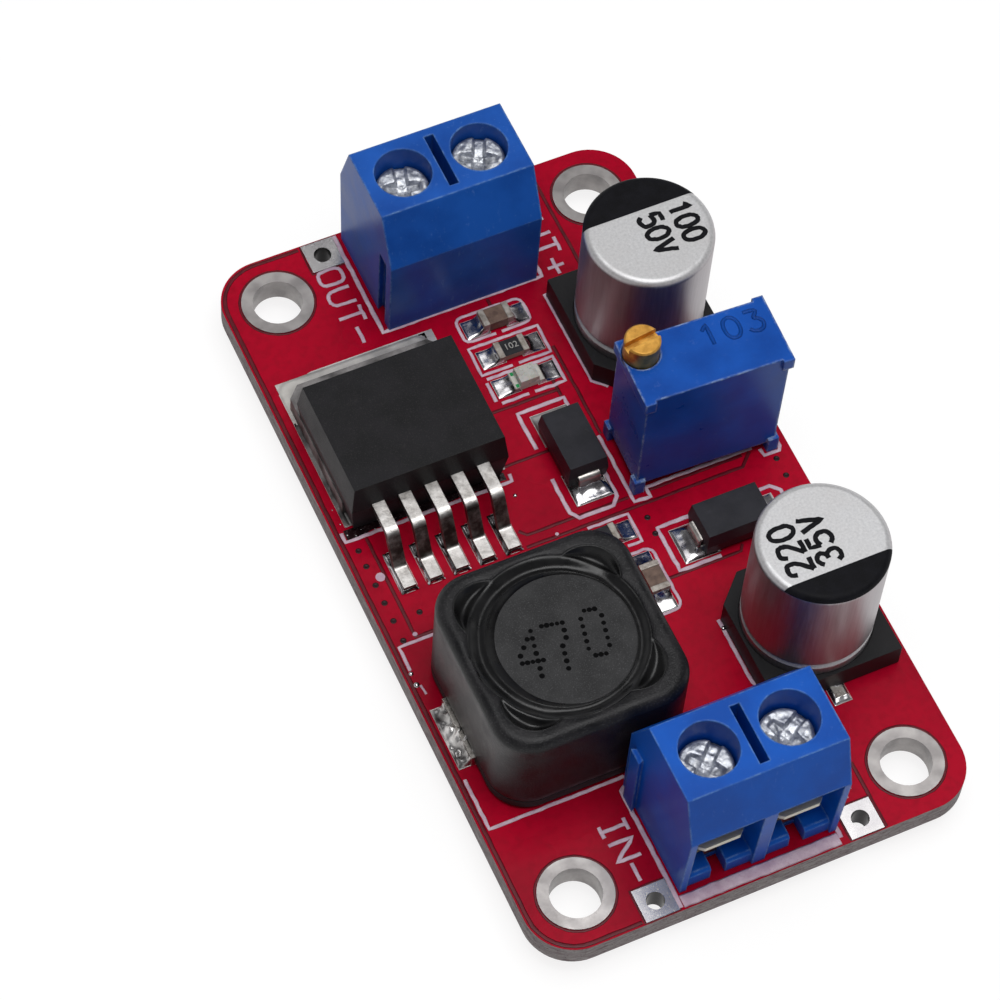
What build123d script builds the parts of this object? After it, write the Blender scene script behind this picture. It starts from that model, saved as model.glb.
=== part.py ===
from build123d import *
import os

os.makedirs("parts", exist_ok=True)

# Boost converter module. Millimetres, +Z up, origin at the centre of the board's underside.
# The input terminal is at the -Y end and the output terminal at the +Y end.

# Circuit board
board_length = 50.2
board_width = 28.0
board_thickness = 1.6
board_corner_radius = 3.0
mount_side_margin = 3.4
mount_end_margin = 3.35
mount_hole_diameter = 3.1
mount_ring_diameter = 4.5
plating_thickness = 0.05
solder_pad_thickness = 0.06
pin_reach_below = 1.5

# Square pads for soldered wires
wire_pad_spacing_x = 13.1
wire_pad_end_margin = 0.1
wire_pad_offset_x = -0.1
wire_pad_side = 2.1
wire_hole_diameter = 1.1

# Screw terminals
terminal_pitch = 5.0
terminal_poles = 2
terminal_height = 10.0
terminal_top_depth = 4.95
terminal_shoulder_height = 6.5
terminal_front_reach = 3.65
terminal_back_reach = 4.1
terminal_toe_setback = 0.3
input_terminal_x = -0.19
input_terminal_y = -20.7
output_terminal_x = -0.08
output_terminal_y = 21.33
entry_width = 4.15
entry_depth = 1.7
floor_block_height = 1.2
floor_block_setback = 0.2
floor_gap = 0.95
well_diameter = 3.5
pole_slot_width = 0.6
pole_slot_length = 3.85
pole_slot_depth = 3.2
rib_root = 0.8
rib_tip = 1.1
rib_reach = 0.32
rib_height = 6.0
rib_back_margin = 1.2
rib_clearance = 0.1

# Clamp frame, wire guard and screw of one pole
frame_width = 3.3
frame_depth = 4.0
frame_metal = 0.8
frame_floor_lift = 0.4
frame_mouth = 3.4
frame_bend_radius = 0.5
frame_clearance = 0.05
board_pin_width = 1.0
board_pin_depth = 0.8
board_pin_hole = 1.5
board_pin_chamfer = 0.15
guard_width = 2.9
guard_metal = 0.35
guard_clearance = 0.02
guard_front_rise = 0.3
guard_tail = 1.25
guard_nose = 3.05
guard_corner = 0.35
screw_thread_diameter = 2.45
screw_thread_clearance = 0.07
screw_tip_chamfer = 0.25
screw_head_diameter = 3.05
screw_head_height = 1.0
screw_head_edge = 0.2
screw_head_depth = 1.1
screw_slot_width = 0.55
screw_slot_length = 3.4
screw_cross_length = 2.2
screw_recess_depth = 0.6
screw_socket_diameter = 0.9
# How far each screw is turned in from fully open, and where its slot points
input_screw_travel = 0.8
output_negative_screw_travel = 0.35
output_positive_screw_travel = 0.0
screw_travels = {
    ("input", "negative"): input_screw_travel,
    ("input", "positive"): input_screw_travel,
    ("output", "negative"): output_negative_screw_travel,
    ("output", "positive"): output_positive_screw_travel,
}
screw_turns = {
    ("input", "negative"): 42,
    ("input", "positive"): 28,
    ("output", "negative"): 75,
    ("output", "positive"): 64,
}

# Trimmer
trimmer_x = 8.57
trimmer_y = 2.85
trimmer_turn = -2.5
trimmer_length = 9.5
trimmer_depth = 4.8
trimmer_height = 10.05
trimmer_wall_setback = 0.2
trimmer_post_width = 0.7
trimmer_post_height = 0.9
trimmer_foot_height = 1.3
trimmer_standoff = 0.85
trimmer_screw_diameter = 2.2
trimmer_screw_stand = 1.5
trimmer_screw_end_margin = 1.15
trimmer_screw_side_margin = 1.25
trimmer_screw_socket = 0.45
trimmer_screw_clearance = 0.05
trimmer_screw_chamfer = 0.1
trimmer_slot_turn = 9
trimmer_slot_length = 2.4
trimmer_slot_width = 0.5
trimmer_slot_depth = 0.45
trimmer_pin_pitch = 2.54
trimmer_pin_diameter = 0.55
trimmer_pin_hole = 0.9
trimmer_base_thickness = 0.7
trimmer_base_margin = 0.9

# Electrolytic capacitors
can_diameter = 7.95
can_height = 10.45
can_shoulder_radius = 0.45
can_neck_depth = 0.16
can_neck_length = 0.35
can_bead_height = 0.8
capacitor_base_side = 8.4
capacitor_base_height = 1.75
capacitor_base_chamfer = 1.7
capacitor_seat_depth = 0.9
capacitor_seat_clearance = 0.03
capacitor_lead_width = 0.7
capacitor_lead_metal = 0.22
capacitor_lead_reach = 5.0
capacitor_lead_root = 1.6
capacitor_pad_width = 1.15
capacitor_pad_length = 3.0
capacitor_pad_reach = 5.35
output_capacitor_x = 9.12
output_capacitor_y = 11.6
input_capacitor_x = 9.0
input_capacitor_y = -11.55

# Regulator
regulator_x = -7.9
regulator_y = 8.9
regulator_width = 10.2
regulator_length = 8.3
regulator_height = 4.5
regulator_parting_height = 2.45
regulator_draft = 7.0
regulator_lift = 0.05
regulator_tab_width = 10.05
regulator_tab_metal = 1.27
regulator_tab_reach = 6.1
regulator_tab_root = 2.6
regulator_tab_chamfer = 0.75
lead_count = 5
lead_pitch = 1.7
lead_width = 0.8
lead_metal = 0.45
lead_bend_radius = 0.45
lead_shoulder_reach = 2.0
lead_foot_start = 3.25
lead_foot_end = 4.8
lead_root = 0.9
lead_pad_corner = 0.38
lead_pad_width = 1.15
lead_pad_length = 3.0
lead_pad_reach = 4.95
tab_pad_width = 10.5
tab_pad_length = 10.95
tab_pad_reach = 7.4
tab_pad_cut_across = 2.4
tab_pad_cut_along = 0.8

# Shielded inductor
inductor_x = -6.45
inductor_y = -9.95
inductor_side = 12.1
inductor_height = 7.6
inductor_corner_radius = 2.4
inductor_edge_radius = 0.7
inductor_base_height = 0.6
inductor_bore = 10.0
inductor_pocket_diameter = 2.3
inductor_pocket_offset = 3.95
inductor_pocket_depth = 1.3
core_flange_diameter = 8.8
core_flange_thickness = 1.1
core_post_diameter = 4.4
core_sink = 0.35
core_edge_radius = 0.18
winding_diameter = 8.2
bond_depth = 0.75
bond_height = 0.9
inductor_clip_width = 4.2
inductor_clip_metal = 0.25
inductor_clip_height = 0.9
inductor_clip_root = 3.0
inductor_pad_reach = 7.05
inductor_pad_length = 3.4

# Rectifier diodes
diode_length = 4.4
diode_width = 2.65
diode_height = 2.2
diode_parting_height = 1.15
diode_draft = 6.0
diode_lead_width = 1.4
diode_lead_metal = 0.22
diode_lead_root = 0.45
diode_lead_reach = 2.5
diode_lead_foot = 1.3
diode_pad_width = 2.5
diode_pad_gap = 2.2
diode_pad_reach = 3.45
output_diode_x = 1.5
output_diode_y = 4.68
input_diode_x = 8.0
input_diode_y = -3.65

# Chip parts: capacitors, resistors and the indicator
chip_length = 2.0
chip_width = 1.2
chip_cap_length = 0.4
chip_cap_metal = 0.05
chip_pad_reach = 2.1
chip_pad_gap = 1.1
chip_pad_width = 1.35
ceramic_height = 0.85
resistor_height = 0.55
indicator_base_height = 0.35
indicator_lens_height = 0.45
indicator_lens_length = 1.3
indicator_lens_draft = 5
ceramic_one_place = (1.2, 15.3)
resistor_one_place = (1.2, 12.95)
indicator_place = (1.2, 10.7)
ceramic_two_place = (2.22, -5.25)
resistor_two_place = (0.6, -1.4)

# Solder joints under the board
solder_cone_height = 1.0
solder_cone_flare = 2.6
terminal_solder_diameter = 2.4
trimmer_solder_diameter = 1.8

# Worked-out values
mount_spacing_x = board_width - 2 * mount_side_margin
mount_spacing_y = board_length - 2 * mount_end_margin
wire_pad_spacing_y = board_length - 2 * wire_pad_end_margin - wire_pad_side
terminal_width = terminal_pitch * terminal_poles
pole_places = [(i - (terminal_poles - 1) / 2) * terminal_pitch for i in range(terminal_poles)]
entry_start = terminal_front_reach - entry_depth
frame_front = entry_start - frame_clearance
frame_back = frame_front - frame_depth
frame_top = frame_floor_lift + 2 * frame_metal + frame_mouth
nut_underside = frame_top - frame_metal
guard_top = nut_underside - guard_clearance
trimmer_screw_x = -trimmer_length / 2 + trimmer_screw_end_margin
trimmer_screw_y = trimmer_depth / 2 - trimmer_screw_side_margin
trimmer_pin_places = [-trimmer_pin_pitch, 0, trimmer_pin_pitch]
pad_top = board_thickness + solder_pad_thickness


def seat_at(x, y, height=board_thickness, turned=False):
    """A horizontal plane where a component stands; turned faces it the other way round."""
    facing = (-1, 0, 0) if turned else (1, 0, 0)
    return Plane(origin=(x, y, height), x_dir=facing, z_dir=(0, 0, 1))


def quarter_seat(x, y, height=board_thickness):
    """A seat turned a quarter turn, for components that lie along Y."""
    return Plane(origin=(x, y, height), x_dir=(0, 1, 0), z_dir=(0, 0, 1))


def side_of(seat, across=0.0):
    """The vertical plane along a seat's y direction, at a distance across its x."""
    return Plane(origin=seat.from_local_coords((across, 0, 0)), x_dir=seat.y_dir, z_dir=seat.x_dir)


def front_of(seat, along=0.0):
    """The vertical plane along a seat's x direction, at a distance along its y."""
    return Plane(origin=seat.from_local_coords((0, along, 0)), x_dir=seat.x_dir, z_dir=-seat.y_dir)


def turned_seat(seat):
    """The same seat, its x direction laid along its old y."""
    return Plane(origin=seat.origin, x_dir=seat.y_dir, z_dir=seat.z_dir)


def across_axis(seat):
    return Axis(seat.origin, seat.x_dir)


def along_axis(seat):
    return Axis(seat.origin, seat.y_dir)


def save(piece, name):
    piece.part.label = name
    export_step(piece.part, f"parts/{name}.step")


input_seat = seat_at(input_terminal_x, input_terminal_y, turned=True)
output_seat = seat_at(output_terminal_x, output_terminal_y)
trimmer_seat = seat_at(trimmer_x, trimmer_y).rotated((0, 0, trimmer_turn))
output_capacitor_seat = seat_at(output_capacitor_x, output_capacitor_y, pad_top)
input_capacitor_seat = seat_at(input_capacitor_x, input_capacitor_y, pad_top, turned=True)
regulator_seat = seat_at(regulator_x, regulator_y, pad_top)
inductor_seat = seat_at(inductor_x, inductor_y, pad_top)
output_diode_seat = quarter_seat(output_diode_x, output_diode_y, pad_top)
input_diode_seat = seat_at(input_diode_x, input_diode_y, pad_top)
ceramic_one_seat = seat_at(*ceramic_one_place, pad_top)
resistor_one_seat = seat_at(*resistor_one_place, pad_top)
indicator_seat = seat_at(*indicator_place, pad_top)
ceramic_two_seat = quarter_seat(*ceramic_two_place, pad_top)
resistor_two_seat = seat_at(*resistor_two_place, pad_top)
chip_seats = [ceramic_one_seat, resistor_one_seat, indicator_seat, ceramic_two_seat, resistor_two_seat]

terminal_seats = {"input": input_seat, "output": output_seat}
terminal_pin_places = [
    seat.from_local_coords((across, 0, 0)) for seat in terminal_seats.values() for across in pole_places
]
trimmer_pin_points = [trimmer_seat.from_local_coords((across, 0, 0)) for across in trimmer_pin_places]
wire_pad_places = GridLocations(wire_pad_spacing_x, wire_pad_spacing_y, 2, 2).locations
wire_pad_points = [
    (place.position.X + wire_pad_offset_x, place.position.Y) for place in wire_pad_places
]
mount_points = [
    (place.position.X, place.position.Y)
    for place in GridLocations(mount_spacing_x, mount_spacing_y, 2, 2).locations
]


def flat_points(points):
    return [(point.X, point.Y) for point in points]


# The board: every hole is drilled to take its plated sleeve
with BuildPart() as board:
    with BuildSketch():
        RectangleRounded(board_width, board_length, board_corner_radius)
    extrude(amount=board_thickness)
    for points, bore in (
        (mount_points, mount_hole_diameter),
        (wire_pad_points, wire_hole_diameter),
        (flat_points(terminal_pin_places), board_pin_hole),
        (flat_points(trimmer_pin_points), trimmer_pin_hole),
    ):
        with BuildSketch():
            with Locations(*points):
                Circle(bore / 2 + plating_thickness)
        extrude(amount=board_thickness, mode=Mode.SUBTRACT)
save(board, "circuit_board")


def eyelets(points, bore, land, square=False):
    """Plated sleeves with a land on each face of the board."""
    with BuildPart() as sleeves:
        for face in (-plating_thickness, board_thickness):
            with BuildSketch(Plane.XY.offset(face)):
                with Locations(*points):
                    if square:
                        Rectangle(land, land)
                    else:
                        Circle(land / 2)
            extrude(amount=plating_thickness)
        with BuildSketch():
            with Locations(*points):
                Circle(bore / 2 + plating_thickness)
        extrude(amount=board_thickness)
        with BuildSketch(Plane.XY.offset(-plating_thickness)):
            with Locations(*points):
                Circle(bore / 2)
        extrude(amount=board_thickness + 2 * plating_thickness, mode=Mode.SUBTRACT)
    return sleeves


save(eyelets(mount_points, mount_hole_diameter, mount_ring_diameter), "mounting_hole_plating")
save(eyelets(wire_pad_points, wire_hole_diameter, wire_pad_side, square=True), "wire_pad_plating")


# Tinned pads under the surface-mounted parts
def pad_pair(seat, gap, reach, width):
    """Two pads that run from gap / 2 to reach, either side of a seat, along its x."""
    with BuildSketch(seat.offset(-solder_pad_thickness)) as pads:
        with GridLocations(reach + gap / 2, 1, 2, 1):
            Rectangle(reach - gap / 2, width)
    return pads.sketch


lead_places = [(i - (lead_count - 1) / 2) * lead_pitch for i in range(lead_count)]
with BuildPart() as solder_pads:
    for seat in chip_seats:
        extrude(pad_pair(seat, chip_pad_gap, chip_pad_reach, chip_pad_width), solder_pad_thickness)
    for seat in (output_diode_seat, input_diode_seat):
        extrude(pad_pair(seat, diode_pad_gap, diode_pad_reach, diode_pad_width), solder_pad_thickness)
    for seat in (output_capacitor_seat, input_capacitor_seat):
        gap = 2 * (capacitor_pad_reach - capacitor_pad_length)
        pads = pad_pair(turned_seat(seat), gap, capacitor_pad_reach, capacitor_pad_width)
        extrude(pads, solder_pad_thickness)
    gap = 2 * (inductor_pad_reach - inductor_pad_length)
    extrude(pad_pair(inductor_seat, gap, inductor_pad_reach, inductor_clip_width), solder_pad_thickness)
    half = tab_pad_width / 2
    lead_pad_centre = -regulator_length / 2 - lead_pad_reach + lead_pad_length / 2
    with BuildSketch(regulator_seat.offset(-solder_pad_thickness)):
        with BuildLine():
            Polyline(
                (-half, tab_pad_reach - tab_pad_length),
                (half, tab_pad_reach - tab_pad_length),
                (half, tab_pad_reach),
                (tab_pad_cut_across - half, tab_pad_reach),
                (-half, tab_pad_reach - tab_pad_cut_along),
                close=True,
            )
        make_face()
        with Locations(*[(across, lead_pad_centre) for across in lead_places]):
            RectangleRounded(lead_pad_width, lead_pad_length, lead_pad_corner)
    extrude(amount=solder_pad_thickness)
save(solder_pads, "solder_pads")


# Sleeves and solder of the pins that pass through the board
with BuildPart() as pin_sleeves:
    for points, bore in (
        (flat_points(terminal_pin_places), board_pin_hole),
        (flat_points(trimmer_pin_points), trimmer_pin_hole),
    ):
        with BuildSketch():
            with Locations(*points):
                Circle(bore / 2 + plating_thickness)
                Circle(bore / 2, mode=Mode.SUBTRACT)
        extrude(amount=board_thickness)
save(pin_sleeves, "pin_hole_plating")


def solder_joints(points, bore, diameter, pin_section):
    """Solder that fills each plated hole and stands round the pin below the board."""
    with BuildPart() as joints:
        for point in points:
            with BuildSketch(Plane(origin=(point.X, point.Y, 0), x_dir=(1, 0, 0), z_dir=(0, -1, 0))):
                with BuildLine():
                    Polyline(
                        (0, board_thickness),
                        (bore / 2, board_thickness),
                        (bore / 2, 0),
                        (diameter / 2, 0),
                    )
                    RadiusArc((diameter / 2, 0), (bore / 4, -solder_cone_height), solder_cone_flare)
                    Line((bore / 4, -solder_cone_height), (0, -solder_cone_height))
                    Line((0, -solder_cone_height), (0, board_thickness))
                make_face()
            revolve(axis=Axis((point.X, point.Y, 0), (0, 0, 1)))
        with BuildSketch(Plane.XY.offset(-solder_cone_height)):
            with Locations(*flat_points(points)):
                add(pin_section)
        extrude(amount=solder_cone_height + board_thickness, mode=Mode.SUBTRACT)
    return joints


with BuildSketch() as flat_pin:
    Rectangle(board_pin_width, board_pin_depth)
with BuildSketch() as round_pin:
    Circle(trimmer_pin_diameter / 2)
terminal_joints = solder_joints(
    terminal_pin_places, board_pin_hole, terminal_solder_diameter, flat_pin.sketch
)
save(terminal_joints, "terminal_solder_joints")
trimmer_joints = solder_joints(
    trimmer_pin_points, trimmer_pin_hole, trimmer_solder_diameter, round_pin.sketch
)
save(trimmer_joints, "trimmer_solder_joints")


# Screw terminals
def dovetail(seat, across, allowance=0.0):
    """The section of the dovetail at a side wall: a rib, or with an allowance its groove."""
    centre = -terminal_back_reach + rib_back_margin
    root = rib_root / 2 + allowance
    tip = rib_tip / 2 + allowance
    reach = rib_reach + allowance
    with BuildSketch(seat) as section:
        with BuildLine():
            Polyline(
                (across, centre - root),
                (across + reach, centre - tip),
                (across + reach, centre + tip),
                (across, centre + root),
                close=True,
            )
        make_face()
    return section.sketch


def terminal_housing(seat):
    half = terminal_width / 2
    top_back = -terminal_top_depth / 2
    top_front = terminal_top_depth / 2
    with BuildPart() as housing:
        # The slope-shouldered section, run across both poles
        with BuildSketch(side_of(seat, -half)):
            with BuildLine():
                Polyline(
                    (-terminal_back_reach, 0),
                    (-terminal_back_reach, terminal_shoulder_height),
                    (top_back, terminal_height),
                    (top_front, terminal_height),
                    (terminal_front_reach, terminal_shoulder_height),
                    (terminal_front_reach - terminal_toe_setback, 0),
                    close=True,
                )
            make_face()
        extrude(amount=terminal_width)

        # Wire entries, open to the front and down to the board
        entry_centre = entry_start + terminal_front_reach / 2
        with BuildSketch(seat):
            with Locations(*[(across, entry_centre) for across in pole_places]):
                Rectangle(entry_width, terminal_front_reach)
        extrude(amount=terminal_shoulder_height, mode=Mode.SUBTRACT)

        # Low blocks either side of a gap keep the wire off the board
        block_width = (entry_width - floor_gap) / 2
        block_front = terminal_front_reach - terminal_toe_setback - floor_block_setback
        for across in pole_places:
            for side in (-1, 1):
                block_centre = across + side * (floor_gap + block_width) / 2
                with BuildSketch(side_of(seat, block_centre - block_width / 2)):
                    with BuildLine():
                        Polyline(
                            (entry_start, 0),
                            (block_front, 0),
                            (block_front, floor_block_height - floor_block_setback),
                            (block_front - floor_block_setback, floor_block_height),
                            (entry_start, floor_block_height),
                            close=True,
                        )
                    make_face()
                extrude(amount=block_width)

        # A pocket for each clamp frame, and the slot its pin drops through
        pocket_centre = (entry_start + frame_back - frame_clearance) / 2
        pocket_length = entry_start - frame_back + frame_clearance
        with BuildSketch(seat.offset(frame_floor_lift)):
            with Locations(*[(across, pocket_centre) for across in pole_places]):
                Rectangle(frame_width + 2 * frame_clearance, pocket_length)
        extrude(amount=frame_top - frame_floor_lift + frame_clearance, mode=Mode.SUBTRACT)
        with BuildSketch(seat):
            with Locations(*[(across, 0) for across in pole_places]):
                Rectangle(board_pin_width + 2 * frame_clearance, board_pin_depth + 2 * frame_clearance)
        extrude(amount=frame_floor_lift, mode=Mode.SUBTRACT)

        # Screw wells, and the slot between the poles
        with BuildSketch(seat.offset(frame_top)):
            with Locations(*[(across, 0) for across in pole_places]):
                Circle(well_diameter / 2)
        extrude(amount=terminal_height - frame_top, mode=Mode.SUBTRACT)
        with BuildSketch(seat.offset(terminal_height - pole_slot_depth)):
            Rectangle(pole_slot_width, pole_slot_length)
        extrude(amount=pole_slot_depth, mode=Mode.SUBTRACT)

        # Blocks like this one slide together along their dovetails
        extrude(dovetail(seat, half), rib_height)
        extrude(dovetail(seat, -half, rib_clearance), rib_height + rib_clearance, mode=Mode.SUBTRACT)
    return housing


def clamp_frame(seat, across):
    """A folded brass frame, open to the front, with a tapped roof and a pin into the board."""
    with BuildPart() as frame:
        with BuildSketch(side_of(seat, across - frame_width / 2)):
            with BuildLine():
                Polyline(
                    (frame_front, frame_floor_lift),
                    (frame_back, frame_floor_lift),
                    (frame_back, frame_top),
                    (frame_front, frame_top),
                    (frame_front, nut_underside),
                    (frame_back + frame_metal, nut_underside),
                    (frame_back + frame_metal, frame_floor_lift + frame_metal),
                    (frame_front, frame_floor_lift + frame_metal),
                    close=True,
                )
            make_face()
        extrude(amount=frame_width)
        back_bends = frame.edges().filter_by(across_axis(seat)).sort_by(along_axis(seat))[0:2]
        fillet(back_bends, frame_bend_radius)
        with BuildSketch(seat.offset(nut_underside)):
            with Locations((across, 0)):
                Circle(screw_thread_diameter / 2 + screw_thread_clearance)
        extrude(amount=frame_metal, mode=Mode.SUBTRACT)
        with BuildSketch(seat.offset(-board_thickness - pin_reach_below)):
            with Locations((across, 0)):
                Rectangle(board_pin_width, board_pin_depth)
        extrude(amount=board_thickness + pin_reach_below + frame_floor_lift)
        chamfer(frame.faces().sort_by(Axis.Z)[0].edges(), board_pin_chamfer)
    return frame


def wire_guard(seat, across, travel):
    """A spring plate under the screw tip, its nose bent up to lead the wire in."""
    top = guard_top - travel
    with BuildPart() as guard:
        with BuildSketch(side_of(seat, across - guard_width / 2)):
            with BuildLine():
                Polyline(
                    (-guard_tail, top),
                    (entry_start, top),
                    (guard_nose, top + guard_front_rise),
                    (guard_nose, top + guard_front_rise - guard_metal),
                    (entry_start, top - guard_metal),
                    (-guard_tail, top - guard_metal),
                    close=True,
                )
            make_face()
        extrude(amount=guard_width)
        nose_corners = guard.edges().filter_by(Axis.Z).sort_by(along_axis(seat))[-2:]
        chamfer(nose_corners, guard_corner)
    return guard


def clamp_screw(seat, across, travel, turn):
    """A cheese-head clamp screw with a slot and a cross recess."""
    head_top = terminal_height - screw_head_depth - travel
    head_underside = head_top - screw_head_height
    tip = guard_top - travel
    with BuildPart() as screw:
        with BuildSketch(seat.offset(head_underside)):
            with Locations((across, 0)):
                Circle(screw_head_diameter / 2)
        extrude(amount=screw_head_height)
        fillet(screw.edges().sort_by(Axis.Z)[-1], screw_head_edge)
        with BuildSketch(seat.offset(tip)):
            with Locations((across, 0)):
                Circle(screw_thread_diameter / 2)
        extrude(amount=head_underside - tip)
        chamfer(screw.edges().sort_by(Axis.Z)[0], screw_tip_chamfer)
        with BuildSketch(seat.offset(head_top - screw_recess_depth)):
            with Locations(Location((across, 0, 0), (0, 0, turn))):
                Rectangle(screw_slot_length, screw_slot_width)
                Rectangle(screw_slot_width, screw_cross_length)
                Circle(screw_socket_diameter / 2)
        extrude(amount=screw_recess_depth, mode=Mode.SUBTRACT)
    return screw


for end, seat in terminal_seats.items():
    save(terminal_housing(seat), f"{end}_terminal_housing")
    for pole_name, across in zip(("negative", "positive"), pole_places):
        # The input block stands the other way round, so its poles change sides
        local = across if end == "output" else -across
        save(clamp_frame(seat, local), f"{end}_{pole_name}_clamp_frame")
        travel = screw_travels[(end, pole_name)]
        save(wire_guard(seat, local, travel), f"{end}_{pole_name}_wire_guard")
        screw = clamp_screw(seat, local, travel, screw_turns[(end, pole_name)])
        save(screw, f"{end}_{pole_name}_clamp_screw")


# Trimmer
core_length = trimmer_length - 2 * trimmer_wall_setback
core_depth = trimmer_depth - 2 * trimmer_wall_setback
foot_places = GridLocations(
    trimmer_length - trimmer_post_width, trimmer_depth - trimmer_post_width, 2, 2
).locations
with BuildPart() as trimmer_housing:
    with BuildSketch(trimmer_seat.offset(trimmer_standoff)):
        Rectangle(core_length, core_depth)
    extrude(amount=trimmer_height - trimmer_standoff)
    # Corner feet at the bottom, and end caps proud of the walls at the top
    with BuildSketch(trimmer_seat):
        with Locations(*foot_places):
            Rectangle(trimmer_post_width, trimmer_post_width)
    extrude(amount=trimmer_foot_height)
    with BuildSketch(trimmer_seat.offset(trimmer_height - trimmer_post_height)):
        with GridLocations(trimmer_length - trimmer_post_width, 1, 2, 1):
            Rectangle(trimmer_post_width, trimmer_depth)
    extrude(amount=trimmer_post_height)
    # Pocket for the potted base
    with BuildSketch(trimmer_seat.offset(trimmer_standoff)):
        Rectangle(core_length - 2 * trimmer_base_margin, core_depth - 2 * trimmer_base_margin)
    extrude(amount=trimmer_base_thickness, mode=Mode.SUBTRACT)
    # The socket that the screw turns in
    with BuildSketch(trimmer_seat.offset(trimmer_height - trimmer_screw_socket)):
        with Locations((trimmer_screw_x, trimmer_screw_y)):
            Circle(trimmer_screw_diameter / 2 + trimmer_screw_clearance)
    extrude(amount=trimmer_screw_socket, mode=Mode.SUBTRACT)
save(trimmer_housing, "trimmer_housing")

with BuildPart() as trimmer_base:
    with BuildSketch(trimmer_seat.offset(trimmer_standoff)):
        Rectangle(core_length - 2 * trimmer_base_margin, core_depth - 2 * trimmer_base_margin)
        with Locations(*[(across, 0) for across in trimmer_pin_places]):
            Circle(trimmer_pin_diameter / 2, mode=Mode.SUBTRACT)
    extrude(amount=trimmer_base_thickness)
save(trimmer_base, "trimmer_base")

with BuildPart() as trimmer_pins:
    with BuildSketch(trimmer_seat.offset(-board_thickness - pin_reach_below)):
        with Locations(*[(across, 0) for across in trimmer_pin_places]):
            Circle(trimmer_pin_diameter / 2)
    extrude(amount=board_thickness + pin_reach_below + trimmer_standoff + trimmer_base_thickness)
save(trimmer_pins, "trimmer_pins")

with BuildPart() as trimmer_screw:
    with BuildSketch(trimmer_seat.offset(trimmer_height - trimmer_screw_socket)):
        with Locations((trimmer_screw_x, trimmer_screw_y)):
            Circle(trimmer_screw_diameter / 2)
    extrude(amount=trimmer_screw_socket + trimmer_screw_stand)
    chamfer(trimmer_screw.edges().sort_by(Axis.Z)[-1], trimmer_screw_chamfer)
    with BuildSketch(trimmer_seat.offset(trimmer_height + trimmer_screw_stand - trimmer_slot_depth)):
        with Locations(Location((trimmer_screw_x, trimmer_screw_y, 0), (0, 0, trimmer_slot_turn))):
            Rectangle(trimmer_slot_length, trimmer_slot_width)
    extrude(amount=trimmer_slot_depth, mode=Mode.SUBTRACT)
save(trimmer_screw, "trimmer_screw")


# Electrolytic capacitors: can, base with two cut corners, and flat leads bent out under it
def capacitor_can(seat):
    radius = can_diameter / 2
    bottom = capacitor_base_height - capacitor_seat_depth
    bead_top = capacitor_base_height + can_bead_height
    with BuildPart() as can:
        with BuildSketch(front_of(seat)):
            with BuildLine():
                Polyline(
                    (0, bottom),
                    (radius, bottom),
                    (radius, bead_top - can_neck_depth),
                    (radius - can_neck_depth, bead_top),
                    (radius - can_neck_depth, bead_top + can_neck_depth),
                    (radius, bead_top + can_neck_length),
                    (radius, can_height),
                    (0, can_height),
                    close=True,
                )
            make_face()
        revolve(axis=Axis(seat.origin, seat.z_dir))
        fillet(can.edges().sort_by(Axis.Z)[-1], can_shoulder_radius)
    return can


def capacitor_base(seat):
    half = capacitor_base_side / 2
    cut = capacitor_base_chamfer
    with BuildPart() as base:
        with BuildSketch(seat):
            with BuildLine():
                Polyline(
                    (-half, half),
                    (-half, -half + cut),
                    (-half + cut, -half),
                    (half - cut, -half),
                    (half, -half + cut),
                    (half, half),
                    close=True,
                )
            make_face()
        extrude(amount=capacitor_base_height)
        with BuildSketch(seat.offset(capacitor_base_height - capacitor_seat_depth)):
            Circle(can_diameter / 2 + capacitor_seat_clearance)
        extrude(amount=capacitor_seat_depth, mode=Mode.SUBTRACT)
        with BuildSketch(seat):
            Rectangle(capacitor_lead_width, capacitor_base_side)
        extrude(amount=capacitor_lead_metal, mode=Mode.SUBTRACT)
        with BuildSketch(seat):
            with GridLocations(1, 2 * capacitor_lead_root - capacitor_lead_metal, 1, 2):
                Rectangle(capacitor_lead_width, capacitor_lead_metal)
        extrude(amount=capacitor_base_height - capacitor_seat_depth, mode=Mode.SUBTRACT)
    return base


def capacitor_leads(seat):
    """Two flat leads: down through the base, then out along the board."""
    with BuildPart() as leads:
        for side in (-1, 1):
            with BuildSketch(side_of(seat, -capacitor_lead_width / 2)):
                with BuildLine():
                    Polyline(
                        (side * (capacitor_lead_root - capacitor_lead_metal), 0),
                        (side * capacitor_lead_reach, 0),
                        (side * capacitor_lead_reach, capacitor_lead_metal),
                        (side * capacitor_lead_root, capacitor_lead_metal),
                        (side * capacitor_lead_root, capacitor_base_height - capacitor_seat_depth),
                        (
                            side * (capacitor_lead_root - capacitor_lead_metal),
                            capacitor_base_height - capacitor_seat_depth,
                        ),
                        close=True,
                    )
                make_face()
            extrude(amount=capacitor_lead_width)
    return leads


for end, seat in (("output", output_capacitor_seat), ("input", input_capacitor_seat)):
    save(capacitor_can(seat), f"{end}_capacitor_can")
    save(capacitor_base(seat), f"{end}_capacitor_base")
    save(capacitor_leads(seat), f"{end}_capacitor_leads")


# Regulator: drafted body moulded round a heat tab, five formed leads
def bent_strip(plane, line, metal, bend):
    """The side view of a strip of even thickness that follows a bent centre line."""
    with BuildSketch(plane) as strip:
        with BuildLine():
            FilletPolyline(*line, radius=bend)
        trace(line_width=metal)
    return strip.sketch


body_face = -regulator_length / 2
lead_line = [
    (body_face + lead_root, regulator_parting_height),
    (body_face - lead_shoulder_reach, regulator_parting_height),
    (body_face - lead_foot_start, lead_metal / 2),
    (body_face - lead_foot_end, lead_metal / 2),
]

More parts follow.
